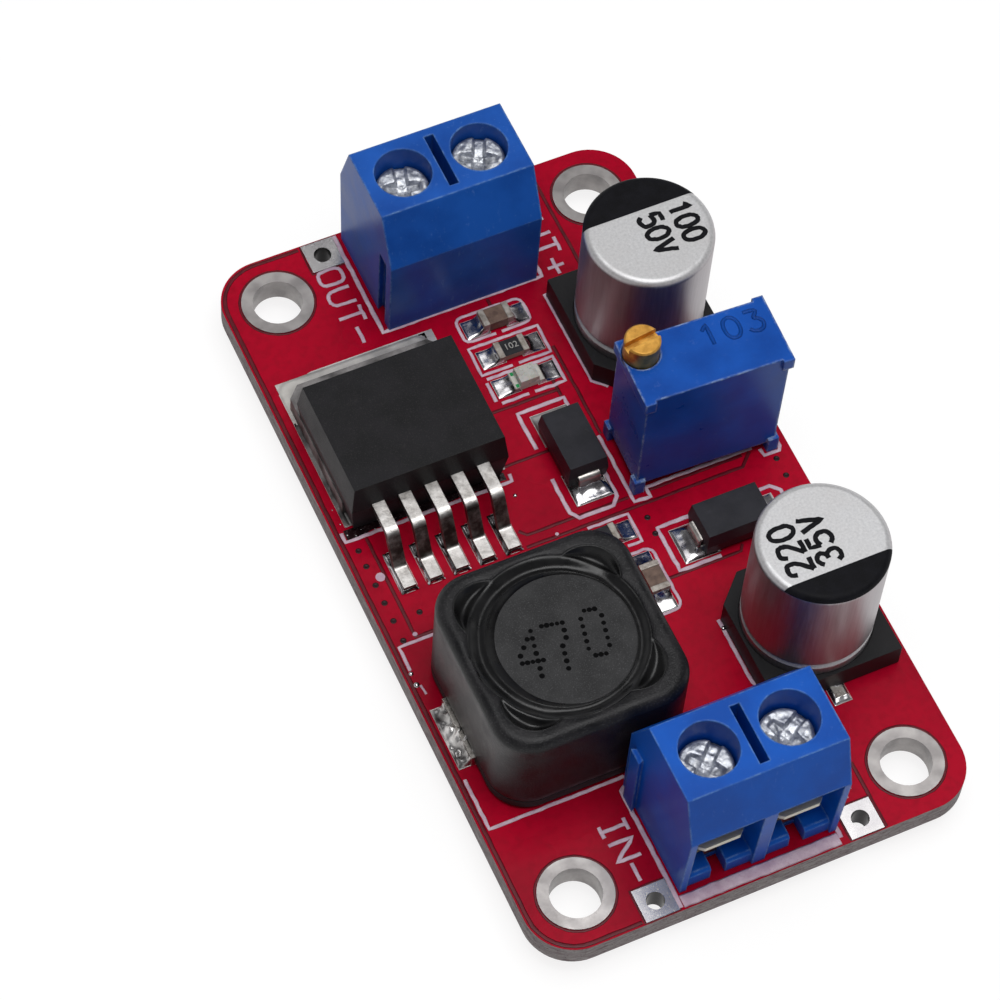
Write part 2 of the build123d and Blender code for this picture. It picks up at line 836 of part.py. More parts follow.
with BuildPart() as regulator_leads:
    for across in lead_places:
        plane = side_of(regulator_seat, across - lead_width / 2)
        extrude(bent_strip(plane, lead_line, lead_metal, lead_bend_radius), lead_width)
save(regulator_leads, "regulator_leads")

with BuildPart() as regulator_tab:
    half = regulator_tab_width / 2
    cut = regulator_tab_chamfer
    with BuildSketch(regulator_seat):
        with BuildLine():
            Polyline(
                (-half, -regulator_tab_root),
                (half, -regulator_tab_root),
                (half, regulator_tab_reach - cut),
                (half - cut, regulator_tab_reach),
                (-half + cut, regulator_tab_reach),
                (-half, regulator_tab_reach - cut),
                close=True,
            )
        make_face()
    extrude(amount=regulator_tab_metal)
save(regulator_tab, "regulator_tab")

with BuildPart() as regulator_body:
    for rise in (regulator_height - regulator_parting_height, regulator_lift - regulator_parting_height):
        with BuildSketch(regulator_seat.offset(regulator_parting_height)):
            Rectangle(regulator_width, regulator_length)
        extrude(amount=rise, taper=regulator_draft)
    add(regulator_tab.part, mode=Mode.SUBTRACT)
    add(regulator_leads.part, mode=Mode.SUBTRACT)
save(regulator_body, "regulator_body")


# Shielded inductor
shield_foot = inductor_clip_metal + inductor_base_height
core_top = inductor_height - core_sink
bond_top = inductor_height - bond_depth
with BuildPart() as inductor_base:
    with BuildSketch(inductor_seat.offset(inductor_clip_metal)):
        RectangleRounded(inductor_side, inductor_side, inductor_corner_radius)
    extrude(amount=inductor_base_height)
save(inductor_base, "inductor_base")

with BuildPart() as inductor_shield:
    with BuildSketch(inductor_seat.offset(shield_foot)):
        RectangleRounded(inductor_side, inductor_side, inductor_corner_radius)
    extrude(amount=inductor_height - shield_foot)
    fillet(inductor_shield.faces().sort_by(Axis.Z)[-1].edges(), inductor_edge_radius)
    with BuildSketch(inductor_seat.offset(shield_foot)):
        Circle(inductor_bore / 2)
    extrude(amount=inductor_height - shield_foot, mode=Mode.SUBTRACT)
    with BuildSketch(inductor_seat.offset(inductor_height - inductor_pocket_depth)):
        with GridLocations(2 * inductor_pocket_offset, 2 * inductor_pocket_offset, 2, 2):
            Circle(inductor_pocket_diameter / 2)
    extrude(amount=inductor_pocket_depth, mode=Mode.SUBTRACT)
save(inductor_shield, "inductor_shield")

with BuildPart() as inductor_core:
    with BuildSketch(front_of(inductor_seat)):
        with BuildLine():
            Polyline(
                (0, shield_foot),
                (core_flange_diameter / 2, shield_foot),
                (core_flange_diameter / 2, shield_foot + core_flange_thickness),
                (core_post_diameter / 2, shield_foot + core_flange_thickness),
                (core_post_diameter / 2, core_top - core_flange_thickness),
                (core_flange_diameter / 2, core_top - core_flange_thickness),
                (core_flange_diameter / 2, core_top),
                (0, core_top),
                close=True,
            )
        make_face()
    revolve(axis=Axis(inductor_seat.origin, inductor_seat.z_dir))
    fillet(inductor_core.edges().sort_by(Axis.Z)[-1], core_edge_radius)
save(inductor_core, "inductor_core")

with BuildPart() as inductor_winding:
    with BuildSketch(inductor_seat.offset(shield_foot + core_flange_thickness)):
        Circle(winding_diameter / 2)
        Circle(core_post_diameter / 2, mode=Mode.SUBTRACT)
    extrude(amount=core_top - shield_foot - 2 * core_flange_thickness)
save(inductor_winding, "inductor_winding")

with BuildPart() as inductor_bond:
    with BuildSketch(inductor_seat.offset(bond_top - bond_height)):
        Circle(inductor_bore / 2)
        Circle(core_flange_diameter / 2, mode=Mode.SUBTRACT)
    extrude(amount=bond_height)
    # The bonding resin also runs into the floor of each corner pocket
    with BuildSketch(inductor_seat.offset(inductor_height - inductor_pocket_depth)):
        with GridLocations(2 * inductor_pocket_offset, 2 * inductor_pocket_offset, 2, 2):
            Circle(inductor_pocket_diameter / 2)
        Circle(core_flange_diameter / 2, mode=Mode.SUBTRACT)
    extrude(amount=inductor_pocket_depth - bond_depth)
save(inductor_bond, "inductor_bond")

with BuildPart() as inductor_terminals:
    for side in (-1, 1):
        outer = inductor_side / 2
        with BuildSketch(turned_seat(inductor_seat)):
            with Locations((0, side * (outer + inductor_clip_root) / 2)):
                Rectangle(inductor_clip_width, outer - inductor_clip_root)
        extrude(amount=inductor_clip_metal)
        with BuildSketch(turned_seat(inductor_seat)):
            with Locations((0, side * (outer + inductor_clip_metal / 2))):
                Rectangle(inductor_clip_width, inductor_clip_metal)
        extrude(amount=inductor_clip_height)
save(inductor_terminals, "inductor_terminals")


# Rectifier diodes: drafted body, leads that fold down the ends and under it
def diode_leads(seat):
    lead_end = diode_lead_reach - diode_lead_metal / 2
    with BuildPart() as leads:
        for side in (-1, 1):
            line = [
                (side * (diode_length / 2 - diode_lead_root), diode_parting_height),
                (side * lead_end, diode_parting_height),
                (side * lead_end, diode_lead_metal / 2),
                (side * diode_lead_foot, diode_lead_metal / 2),
            ]
            plane = front_of(seat, diode_lead_width / 2)
            extrude(bent_strip(plane, line, diode_lead_metal, diode_lead_metal), diode_lead_width)
    return leads


def diode_body(seat, leads):
    with BuildPart() as body:
        for rise in (diode_height - diode_parting_height, diode_lead_metal - diode_parting_height):
            with BuildSketch(seat.offset(diode_parting_height)):
                Rectangle(diode_length, diode_width)
            extrude(amount=rise, taper=diode_draft)
        add(leads.part, mode=Mode.SUBTRACT)
    return body


for end, seat in (("output", output_diode_seat), ("input", input_diode_seat)):
    leads = diode_leads(seat)
    save(leads, f"{end}_diode_leads")
    save(diode_body(seat, leads), f"{end}_diode_body")


# Chip parts
def chip_ends(seat, height):
    """The two metal end caps, each folded round its end of the body."""
    with BuildPart() as ends:
        with BuildSketch(seat):
            with GridLocations(chip_length - chip_cap_length, 1, 2, 1):
                Rectangle(chip_cap_length, chip_width)
        extrude(amount=height)
        fillet(ends.edges().filter_by(along_axis(seat)).group_by(Axis.Z)[-1], chip_cap_metal)
    return ends


def chip_body(seat, height):
    with BuildPart() as body:
        with BuildSketch(seat.offset(chip_cap_metal)):
            Rectangle(chip_length - 2 * chip_cap_length, chip_width - chip_cap_metal)
        extrude(amount=height - 2 * chip_cap_metal)
    return body


for name, seat, height in (
    ("chip_capacitor_one", ceramic_one_seat, ceramic_height),
    ("chip_capacitor_two", ceramic_two_seat, ceramic_height),
    ("chip_resistor_one", resistor_one_seat, resistor_height),
    ("chip_resistor_two", resistor_two_seat, resistor_height),
):
    save(chip_body(seat, height), f"{name}_body")
    save(chip_ends(seat, height), f"{name}_ends")

with BuildPart() as indicator_base:
    with BuildSketch(indicator_seat):
        Rectangle(chip_length - 2 * chip_cap_metal, chip_width)
    extrude(amount=indicator_base_height)
save(indicator_base, "indicator_base")

with BuildPart() as indicator_lens:
    with BuildSketch(indicator_seat.offset(indicator_base_height)):
        Rectangle(indicator_lens_length, chip_width)
    extrude(amount=indicator_lens_height, taper=indicator_lens_draft)
save(indicator_lens, "indicator_lens")

with BuildPart() as indicator_ends:
    with BuildSketch(indicator_seat):
        with GridLocations(chip_length - chip_cap_metal, 1, 2, 1):
            Rectangle(chip_cap_metal, chip_width)
    extrude(amount=indicator_base_height)
save(indicator_ends, "indicator_ends")
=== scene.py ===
import bpy
import math
import random
from mathutils import Matrix, Vector, noise


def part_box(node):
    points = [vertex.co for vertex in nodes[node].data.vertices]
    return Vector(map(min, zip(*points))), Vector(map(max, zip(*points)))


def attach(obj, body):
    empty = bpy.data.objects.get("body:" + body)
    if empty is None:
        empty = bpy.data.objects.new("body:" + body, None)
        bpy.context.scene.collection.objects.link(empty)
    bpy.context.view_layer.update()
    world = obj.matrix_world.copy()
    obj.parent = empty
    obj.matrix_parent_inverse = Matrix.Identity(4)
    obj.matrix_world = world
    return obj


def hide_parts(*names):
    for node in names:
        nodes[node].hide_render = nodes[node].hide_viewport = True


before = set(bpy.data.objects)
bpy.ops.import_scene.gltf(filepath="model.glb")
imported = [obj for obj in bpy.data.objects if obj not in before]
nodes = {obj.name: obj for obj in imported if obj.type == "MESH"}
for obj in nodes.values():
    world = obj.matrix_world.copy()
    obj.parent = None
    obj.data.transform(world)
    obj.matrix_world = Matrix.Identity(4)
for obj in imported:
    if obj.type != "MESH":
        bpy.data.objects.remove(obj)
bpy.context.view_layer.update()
mm = 0.001
random.seed(7)
print("frame loaded:", len(nodes), "nodes")


# helpers for shader trees; their sizes are in mm

def tint(red, green, blue):
    # a display colour, 0 to 255, as the linear colour that sockets take
    def linear(value):
        value /= 255
        return value / 12.92 if value <= 0.04045 else ((value + 0.055) / 1.055) ** 2.4
    return (linear(red), linear(green), linear(blue), 1)


def give(tree, socket, value):
    if isinstance(value, bpy.types.NodeSocket):
        tree.links.new(value, socket)
    else:
        socket.default_value = value


def put(tree, kind, inputs=None, **settings):
    # a new node with its settings made and its sockets linked or set
    made = tree.nodes.new("ShaderNode" + kind)
    for key, value in settings.items():
        setattr(made, key, value)
    for key, value in (inputs or {}).items():
        give(tree, made.inputs[key], value)
    return made


def fed(kind, inputs, **settings):
    # a new node in the tree of the sockets that feed it
    source = next(value for value in inputs.values() if isinstance(value, bpy.types.NodeSocket))
    return put(source.id_data, kind, inputs, **settings)


def newFinish(name):
    made = bpy.data.materials.new(name)
    made.use_nodes = True
    tree = made.node_tree
    where = put(tree, "TexCoord").outputs["Object"]
    return made, tree, tree.nodes["Principled BSDF"], where


def dress(tree, shader, values):
    for key, value in values.items():
        give(tree, shader.inputs[key], value)


def stretched(where, x=1, y=1, z=1):
    return fed("VectorMath", {0: where, 1: (x, y, z)}, operation="MULTIPLY").outputs[0]


def cloud(where, size, detail=3, rough=0.55):
    # noise with features of about that size
    inputs = {"Vector": where, "Scale": 1 / (size * mm), "Detail": detail, "Roughness": rough}
    return fed("TexNoise", inputs).outputs[0]


def cells(where, size):
    return fed("TexVoronoi", {"Vector": where, "Scale": 1 / (size * mm)}).outputs[0]


def ramp(value, *stops):
    made = fed("ValToRGB", {0: value})
    while len(made.color_ramp.elements) < len(stops):
        made.color_ramp.elements.new(0.5)
    for element, (place, colour) in zip(made.color_ramp.elements, stops):
        element.position = place
        element.color = (*colour[:3], 1)
    return made.outputs[0]


def span(value, low, high, fromLow=0.3, fromHigh=0.7):
    inputs = {0: value, 1: fromLow, 2: fromHigh, 3: low, 4: high}
    return fed("MapRange", inputs).outputs[0]


def mixed(share, first, second, blend="MIX"):
    inputs = {0: share, 6: first, 7: second}
    return fed("Mix", inputs, data_type="RGBA", blend_type=blend).outputs[2]


def sums(operation, first, second=0.0):
    return fed("Math", {0: first, 1: second}, operation=operation).outputs[0]


def bumped(height, depth, normal=None):
    # depth is what a full swing of the height value stands for
    inputs = {"Height": height, "Distance": depth * mm, "Strength": 1.0}
    if normal is not None:
        inputs["Normal"] = normal
    return fed("Bump", inputs).outputs[0]


def upward(tree):
    # 1 on level faces, 0 on walls, -1 below
    normal = put(tree, "NewGeometry").outputs["Normal"]
    return fed("SeparateXYZ", {0: normal}).outputs[2]


def softened(tree, radius):
    # the normal of edges rounded by that radius
    return put(tree, "Bevel", {"Radius": radius * mm}, samples=4).outputs[0]


def edgeShare(soft, full):
    # rises to 1 where a surface turns a corner
    flat = put(soft.id_data, "NewGeometry").outputs["Normal"]
    along = fed("VectorMath", {0: soft, 1: flat}, operation="DOT_PRODUCT").outputs["Value"]
    return span(sums("SUBTRACT", 1.0, along), 0, 1, 0.01, full)


plainLook = {
    "patch": 3, "grain": 0.12, "speck": 0.25, "scuff": 0.2, "scuffSize": 0.5, "scuffRough": 0.35,
    "drag": (1, 1, 1), "edge": 0.08, "edgeFull": 0.25, "edgeWearAndHighlight": 0.5, "chip": 0.35, "chipSize": 0.7,
    "wave": 0.01, "tooth": 0.004, "metal": 0, "gloss": 0.22}


def moulded(name, look):
    # one builder for plastics, ceramics, inks and plain metals; a look says how it differs from the plain one
    look = {**plainLook, "fleck": look["light"], **look}
    made, tree, shader, where = newFinish(name)
    soft = softened(tree, look["edge"])
    broad = cloud(where, look["patch"], 4)
    fine = cloud(where, look["grain"], 2)
    worn = tint(*look["worn"])
    colour = ramp(broad, (0.36, tint(*look["dark"])), (0.64, tint(*look["light"])))
    colour = mixed(span(fine, 0, look["speck"], 0.56, 0.75), colour, tint(*look["fleck"]))
    scuff = cloud(stretched(where, *look["drag"]), look["scuffSize"], 6, 0.75)
    scuff = span(scuff, 0, look["scuff"], 0.6, 0.72)
    colour = mixed(scuff, colour, worn)
    # edges take the worn colour in chipped patches: wear, and on the blue terminals and trimmer also a
    # painted highlight along the edges
    wearAndHighlight = sums("MULTIPLY", edgeShare(soft, look["edgeFull"]), look["edgeWearAndHighlight"])
    chipped = cloud(where, look["chipSize"], 4, 0.7)
    wearAndHighlight = sums("MULTIPLY", wearAndHighlight, span(chipped, 1 - look["chip"], 1, 0.45, 0.6))
    colour = mixed(wearAndHighlight, colour, worn)
    if "under" in look:
        colour = mixed(span(upward(tree), 0, 1, 0.4, 0.7), tint(*look["under"]), colour)
    rough = span(broad, *look["rough"])
    dress(tree, shader, {
        "Base Color": colour,
        "Roughness": sums("ADD", rough, sums("MULTIPLY", scuff, look["scuffRough"])),
        "Normal": bumped(fine, look["tooth"], bumped(broad, look["wave"], soft)),
        "Metallic": look["metal"], "Specular IOR Level": look["gloss"]})
    return made


# helpers for pieces; their lines and profiles are in mm

def addObject(name, data):
    made = bpy.data.objects.new(name, data)
    bpy.context.scene.collection.objects.link(made)
    return made


def addMesh(name, verts, faces, finish, body="module", slot=None, smooth=True):
    mesh = bpy.data.meshes.new(name)
    mesh.from_pydata(verts, [], faces)
    mesh.validate()
    return addPiece(name, mesh, finish, body, smooth)


def addPiece(name, mesh, finish, body="module", smooth=True):
    for polygon in mesh.polygons:
        polygon.use_smooth = smooth
    mesh.materials.clear()
    mesh.materials.append(finish)
    piece = addObject(name, mesh)
    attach(piece, body)
    return piece


def asMesh(thing, name):
    # the finished mesh of a curve or text object, which is then dropped
    bpy.context.view_layer.update()
    mesh = bpy.data.meshes.new_from_object(thing.evaluated_get(bpy.context.evaluated_depsgraph_get()))
    mesh.name = name
    mesh.transform(thing.matrix_world)
    bpy.data.objects.remove(thing)
    return mesh


def walked(line, step, closed):
    # a line cut into steps of even length, corners kept
    points = [Vector(point) for point in line]
    if closed:
        points.append(points[0])
    out = []
    for first, last in zip(points, points[1:]):
        count = max(1, round((last - first).length / step))
        out += [first.lerp(last, index / count) for index in range(count)]
    return out if closed else out + [points[-1]]


def rounded(line, closed, rounds=2):
    # corners cut back by quarters, as a pen rounds them
    points = [Vector(point) for point in line]
    for _ in range(rounds):
        pairs = list(zip(points, points[1:] + (points[:1] if closed else [])))
        cut = [first.lerp(last, share) for first, last in pairs for share in (0.25, 0.75)]
        points = cut if closed else [points[0]] + cut[1:-1] + [points[-1]]
    return points


penWaver = 0.02


def penned(name, lines, look, finish):
    # lines on a flat face, each crowned like laid ink: (points, closed, width or None); widths waver a little
    curve = bpy.data.curves.new(name, "CURVE")
    curve.dimensions = "3D"
    curve.bevel_depth = mm / 2
    curve.bevel_resolution = 2
    curve.use_fill_caps = True
    wobble = look["wobble"]
    for points, closed, width in lines:
        points = walked(points, look["step"], closed)
        spline = curve.splines.new("POLY")
        spline.points.add(len(points) - 1)
        spline.use_cyclic_u = closed
        for place, point in zip(spline.points, points):
            drift = Vector((random.gauss(0, wobble), random.gauss(0, wobble)))
            place.co = ((point.x + drift.x) * mm, (point.y + drift.y) * mm, 0, 1)
            place.radius = (width or look["width"]) + random.uniform(-penWaver, penWaver)
    mesh = asMesh(addObject(name, curve), name)
    for vert in mesh.vertices:
        vert.co.z = vert.co.z / (look["width"] * mm / 2) * look["thick"] * mm + look["height"] * mm
    return addPiece(name, mesh, finish)


def circle(radius, count, centre=(0, 0)):
    angles = [2 * math.pi * index / count for index in range(count)]
    return [(centre[0] + radius * math.cos(angle), centre[1] + radius * math.sin(angle)) for angle in angles]


def ringMesh(rings, centre, closed=True):
    # verts and faces of rings of (x, y, z), each the same count, skinned in order and closed into a loop
    count = len(rings[0])
    verts = [((centre[0] + x) * mm, (centre[1] + y) * mm, z * mm) for ring in rings for x, y, z in ring]
    faces = []
    for j in range(len(rings) if closed else len(rings) - 1):
        low, high = j * count, (j + 1) % len(rings) * count
        for i in range(count):
            after = (i + 1) % count
            faces.append((low + i, low + after, high + after, high + i))
    return verts, faces


def spun(profile, centre, count=40):
    # a profile of (radius, height) turned round an upright axis
    rings = [[(x, y, height) for x, y in circle(radius, count)] for radius, height in profile]
    return ringMesh(rings, centre, closed=False)


def sheet(across, along, place, turned=False):
    # verts and faces of a grid; place gives (x, y, z) from a column and a row
    verts = [tuple(value * mm for value in place(i, j)) for j in range(along + 1) for i in range(across + 1)]
    faces = []
    for j in range(along):
        for i in range(across):
            start = j * (across + 1) + i
            face = (start, start + 1, start + across + 2, start + across + 1)
            faces.append(face[:1] + face[:0:-1] if turned else face)
    return verts, faces


def joined(parts):
    verts, faces = [], []
    for more, shapes in parts:
        start = len(verts)
        verts += more
        faces += [tuple(start + index for index in shape) for shape in shapes]
    return verts, faces


boardTop = 1.6
boardLook = {
    "mask": tint(179, 2, 38), "maskDeep": tint(153, 2, 33), "maskFleck": tint(120, 6, 26), "gloss": 0.07,
    "roughness": (0.22, 0.34), "edgeRoughness": 0.8, "weave": 0.42, "weaveDepth": 0.0012,
    "laminate": tint(158, 150, 150), "laminateDark": tint(118, 100, 106), "laminatePale": tint(190, 184, 184),
    "pit": tint(84, 50, 52)}


def boardFinish(look):
    made, tree, shader, where = newFinish("solder mask over laminate")
    isFace = span(sums("ABSOLUTE", upward(tree)), 0, 1, 0.5, 0.8)
    broad = cloud(where, 9, 3)
    fine = cloud(where, 0.5, 3)
    mask = ramp(broad, (0.35, look["maskDeep"]), (0.62, look["mask"]))
    mask = mixed(span(fine, 0, 0.35, 0.45, 0.75), mask, look["maskFleck"])
    # routed edge: glass bundles in layers, dusty and pitted
    layers = cloud(stretched(where, 1, 1, 6), 0.9, 4, 0.7)
    pits = cloud(where, 0.16, 3, 0.7)
    edge = ramp(layers, (0.3, look["laminateDark"]), (0.48, look["laminate"]), (0.7, look["laminatePale"]))
    edge = mixed(span(pits, 0, 0.7, 0.55, 0.72), edge, look["pit"])
    faceRough = span(broad, *look["roughness"])
    # the glass weave shows through the mask, very faintly; a wave of scale 1 is 2 pi long
    wave = {"Vector": where, "Scale": 1 / (look["weave"] * mm) / 6.3, "Distortion": 1.5}
    threads = [fed("TexWave", wave, bands_direction=way).outputs[1] for way in "XY"]
    normal = bumped(broad, 0.03, bumped(sums("ADD", *threads), look["weaveDepth"]))
    pitted = bumped(pits, 0.06, normal)
    dress(tree, shader, {
        "Base Color": mixed(isFace, edge, mask), "Specular IOR Level": look["gloss"],
        "Roughness": fed("Mix", {0: isFace, 2: look["edgeRoughness"], 3: faceRough}).outputs[0],
        "Normal": fed("Mix", {0: isFace, 4: pitted, 5: normal}, data_type="VECTOR").outputs[1]})
    return made


canMetalLook = {
    "dark": tint(186, 186, 188), "light": tint(214, 214, 215), "cloudy": tint(190, 186, 184),
    "wall": tint(214, 208, 210), "edge": 0.12}


def canFinish(look):
    # drawn aluminium: fine upright drag lines, a little cloudy, duller on top; the walls are painted darker
    # than the top as painted shade
    made, tree, shader, where = newFinish("drawn can aluminium")
    drag = cloud(stretched(where, 1, 1, 0.04), 0.16, 4, 0.7)
    broad = cloud(where, 2.2, 3)
    fine = cloud(where, 0.09, 2)
    up = upward(tree)
    colour = ramp(drag, (0.3, look["dark"]), (0.7, look["light"]))
    colour = mixed(span(broad, 0, 0.25), colour, look["cloudy"])
    # painted shade: the walls take a darker tint than the top
    wall = mixed(1.0, colour, look["wall"], "MULTIPLY")
    grain = sums("ADD", drag, sums("MULTIPLY", fine, 0.3))
    dress(tree, shader, {
        "Base Color": mixed(span(up, 0, 1, 0.3, 0.9), wall, colour),
        "Roughness": span(grain, 0.38, 0.5, 0.4, 0.9),
        "Normal": bumped(fine, 0.001, bumped(drag, 0.0012, softened(tree, look["edge"]))),
        "Metallic": span(up, 1, 0.5, 0.3, 0.95)})
    return made


zincLook = {
    "dark": tint(150, 154, 162), "middle": tint(190, 193, 198), "light": tint(222, 224, 227),
    "grime": tint(92, 96, 104), "rough": (0.34, 0.58), "edge": 0.07}


def zincFinish(look):
    # zinc over steel, spangled, bruised by the driver
    made, tree, shader, where = newFinish("worn zinc")
    spangle = cells(where, 0.45)
    broad = cloud(where, 0.55, 3, 0.6)
    fine = cloud(where, 0.08, 3)
    colour = ramp(broad, (0.34, look["dark"]), (0.5, look["middle"]), (0.66, look["light"]))
    normal = bumped(spangle, 0.02, softened(tree, look["edge"]))
    dress(tree, shader, {
        "Base Color": mixed(span(fine, 0, 0.45, 0.56, 0.72), colour, look["grime"]),
        "Roughness": span(broad, *look["rough"]),
        "Normal": bumped(fine, 0.006, bumped(broad, 0.016, normal)), "Metallic": 0.85})
    return made


def solderFinish(name, light, dark, lump, rough, wall=0.0, holeShade=tint(58, 54, 54)):
    # wall is how far walls take the dark hole colour, a painted shade as inside a hole
    made, tree, shader, where = newFinish(name)
    broad = cloud(where, 1.3, 2, 0.4)
    fine = cloud(where, 0.14, 3)
    level = sums("ABSOLUTE", upward(tree))
    colour = ramp(broad, (0.35, dark), (0.62, light))
    dress(tree, shader, {
        "Base Color": mixed(span(level, wall, 0, 0.1, 0.5), colour, holeShade),
        "Roughness": span(fine, *rough),
        "Normal": bumped(fine, lump * 0.1, bumped(broad, lump)), "Metallic": 1})
    return made


stripLook = {
    "dark": tint(176, 172, 168), "light": tint(216, 213, 210), "speck": tint(110, 104, 98),
    "flux": tint(58, 46, 42), "rough": (0.3, 0.5), "edge": 0.05}


def stripFinish(look):
    # tinned strip, bright on its flats; where it runs down it is browned in patches, partly flux and partly
    # painted shade
    made, tree, shader, where = newFinish("regulator strip")
    broad = cloud(where, 0.7, 4, 0.65)
    fine = cloud(where, 0.08, 3)
    colour = ramp(broad, (0.36, look["dark"]), (0.6, look["light"]))
    colour = mixed(span(fine, 0, 0.6, 0.58, 0.72), colour, look["speck"])
    # painted shade: steep faces take the dark brown colour in patches, partly flux
    steep, patchy = span(upward(tree), 1, 0, 0.45, 0.85), span(broad, 1, 0.72, 0.4, 0.62)
    dress(tree, shader, {
        "Base Color": mixed(sums("MULTIPLY", steep, patchy), colour, look["flux"]),
        "Roughness": span(broad, *look["rough"]),
        "Normal": bumped(fine, 0.008, bumped(broad, 0.03, softened(tree, look["edge"]))),
        "Metallic": 0.9})
    return made


lensLook = {"milk": tint(214, 211, 204), "cloudy": tint(188, 186, 178), "through": 0.2, "depth": 0.3}


def lensFinish(look):
    made, tree, shader, where = newFinish("milky lens")
    broad = cloud(where, 0.5, 3)
    dress(tree, shader, {
        "Base Color": ramp(broad, (0.3, look["cloudy"]), (0.7, look["milk"])),
        "Roughness": span(broad, 0.2, 0.38), "Normal": bumped(broad, 0.03),
        "Transmission Weight": look["through"],
        "Subsurface Weight": 0.3, "Subsurface Scale": look["depth"] * mm})
    return made


board = boardFinish(boardLook)
canMetal = canFinish(canMetalLook)
zinc = zincFinish(zincLook)
strip = stripFinish(stripLook)
lens = lensFinish(lensLook)
# hole walls of the rings are painted darker, and those of the wire pads near black: painted shade inside the
# holes
ringTin = solderFinish("tinned rings", tint(172, 168, 166), tint(142, 138, 137), 0.014, (0.36, 0.48), 0.35)
padTin = solderFinish("tinned wire pads", tint(200, 198, 198), tint(184, 181, 183), 0.006, (0.2, 0.28), 1.0,
                      tint(16, 15, 15))
tin = solderFinish("dull tin", tint(206, 204, 202), tint(176, 173, 172), 0.03, (0.4, 0.6))
stripSolder = solderFinish("rough strip solder", tint(138, 135, 134), tint(72, 70, 70), 0.05, (0.5, 0.7))
tabSolder = solderFinish("dull solder", tint(200, 197, 192), tint(168, 165, 162), 0.03, (0.5, 0.66))
clipSolder = solderFinish("lumpy solder", tint(216, 214, 212), tint(66, 62, 62), 0.09, (0.2, 0.42))
solder = solderFinish("soft solder", tint(214, 213, 214), tint(140, 137, 139), 0.03, (0.12, 0.3))

# the pale worn colour on these edges is partly wear and partly a painted highlight
terminalLook = {
    "dark": (4, 76, 172), "light": (8, 90, 194), "worn": (140, 182, 226), "rough": (0.3, 0.42), "gloss": 0.15,
    "edge": 0.18, "edgeFull": 0.05, "edgeWearAndHighlight": 0.6, "chip": 0.75, "scuff": 0.15, "scuffSize": 0.35,
    "drag": (1, 1, 0.35), "tooth": 0.003, "wave": 0.03, "patch": 4}
terminalBlue = moulded("terminal blue", terminalLook)
# the output terminal takes a lighter, greyer blue: painted sheen of overhead light on the far terminal; a
# little more scuffed too
sheenedTerminalBlue = moulded("terminal blue with painted sheen", {
    **terminalLook, "dark": (22, 76, 162), "light": (30, 92, 186), "scuff": 0.2})
# the trimmer's whitish edges are partly wear and partly a painted highlight
trimmerLook = {
    "dark": (6, 70, 160), "light": (12, 84, 182), "worn": (186, 208, 234), "rough": (0.26, 0.38),
    "gloss": 0.16, "edge": 0.2, "edgeFull": 0.04, "edgeWearAndHighlight": 0.9, "chip": 0.85, "scuff": 0.06,
    "tooth": 0.002, "wave": 0.02}
trimmerBlue = moulded("trimmer blue", trimmerLook)
codeBlue = moulded("raised code", {
    **trimmerLook, "dark": (6, 64, 149), "light": (10, 77, 170), "edgeWearAndHighlight": 0})
clampBrass = moulded("plated clamp brass", {
    "dark": (168, 156, 128), "light": (206, 196, 168), "worn": (222, 216, 200), "rough": (0.25, 0.4),
    "metal": 1, "grain": 0.06, "scuff": 0.4, "drag": (0.1, 1, 1)})
# painted light: the guard's colours are raised near white so that its shaded top under the housing still
# reads bright
guardMetal = moulded("guard strip with painted light", {
    "dark": (206, 202, 184), "light": (232, 228, 212), "worn": (240, 238, 228), "rough": (0.3, 0.42),
    "metal": 0.35, "gloss": 0.5, "edge": 0.06, "grain": 0.06, "scuff": 0.5, "drag": (1, 0.1, 1)})
turnedBrass = moulded("turned brass", {
    "dark": (180, 128, 58), "light": (222, 170, 84), "worn": (236, 196, 118), "rough": (0.38, 0.5),
    "metal": 1, "edge": 0.06, "grain": 0.05, "tooth": 0.006, "scuff": 0.3, "patch": 0.6})
leadMetal = moulded("tinned lead", {
    "dark": (158, 152, 146), "light": (206, 202, 196), "worn": (226, 224, 220), "rough": (0.22, 0.36),
    "metal": 1, "edge": 0.05, "grain": 0.08, "tooth": 0.006, "scuff": 0.4, "patch": 0.8, "wave": 0.02})
basePlastic = moulded("capacitor base", {
    "dark": (20, 20, 22), "light": (32, 31, 33), "worn": (72, 70, 72), "rough": (0.42, 0.6),
    "edgeWearAndHighlight": 0.35, "grain": 0.07, "tooth": 0.008})
mouldCompound = moulded("moulding compound", {
    "dark": (22, 22, 24), "light": (31, 30, 33), "worn": (76, 73, 71), "fleck": (70, 68, 66),
    "rough": (0.4, 0.55), "gloss": 0.16, "edgeWearAndHighlight": 0.4, "grain": 0.06, "tooth": 0.012, "scuff": 0.16,
    "speck": 0.4, "patch": 2})
diodeCompound = moulded("diode compound", {
    "dark": (30, 30, 36), "light": (40, 40, 46), "worn": (84, 84, 90), "rough": (0.36, 0.5),
    "edge": 0.06, "edgeWearAndHighlight": 0.4, "grain": 0.05, "tooth": 0.01, "scuff": 0.16, "patch": 1.2})
ferrite = moulded("ferrite", {
    "dark": (20, 20, 22), "light": (32, 31, 33), "worn": (66, 64, 66), "fleck": (74, 74, 76),
    "rough": (0.3, 0.5), "edge": 0.12, "edgeWearAndHighlight": 0.3, "grain": 0.1, "tooth": 0.02, "scuff": 0.3,
    "speck": 0.5, "patch": 1.6})
coreFerrite = moulded("ground ferrite", {
    "dark": (42, 42, 43), "light": (54, 54, 55), "worn": (84, 84, 84), "fleck": (92, 92, 94),
    "rough": (0.4, 0.52), "gloss": 0.15, "edgeWearAndHighlight": 0.3, "grain": 0.07, "tooth": 0.01, "scuff": 0.3,
    "speck": 0.6, "patch": 1.4})
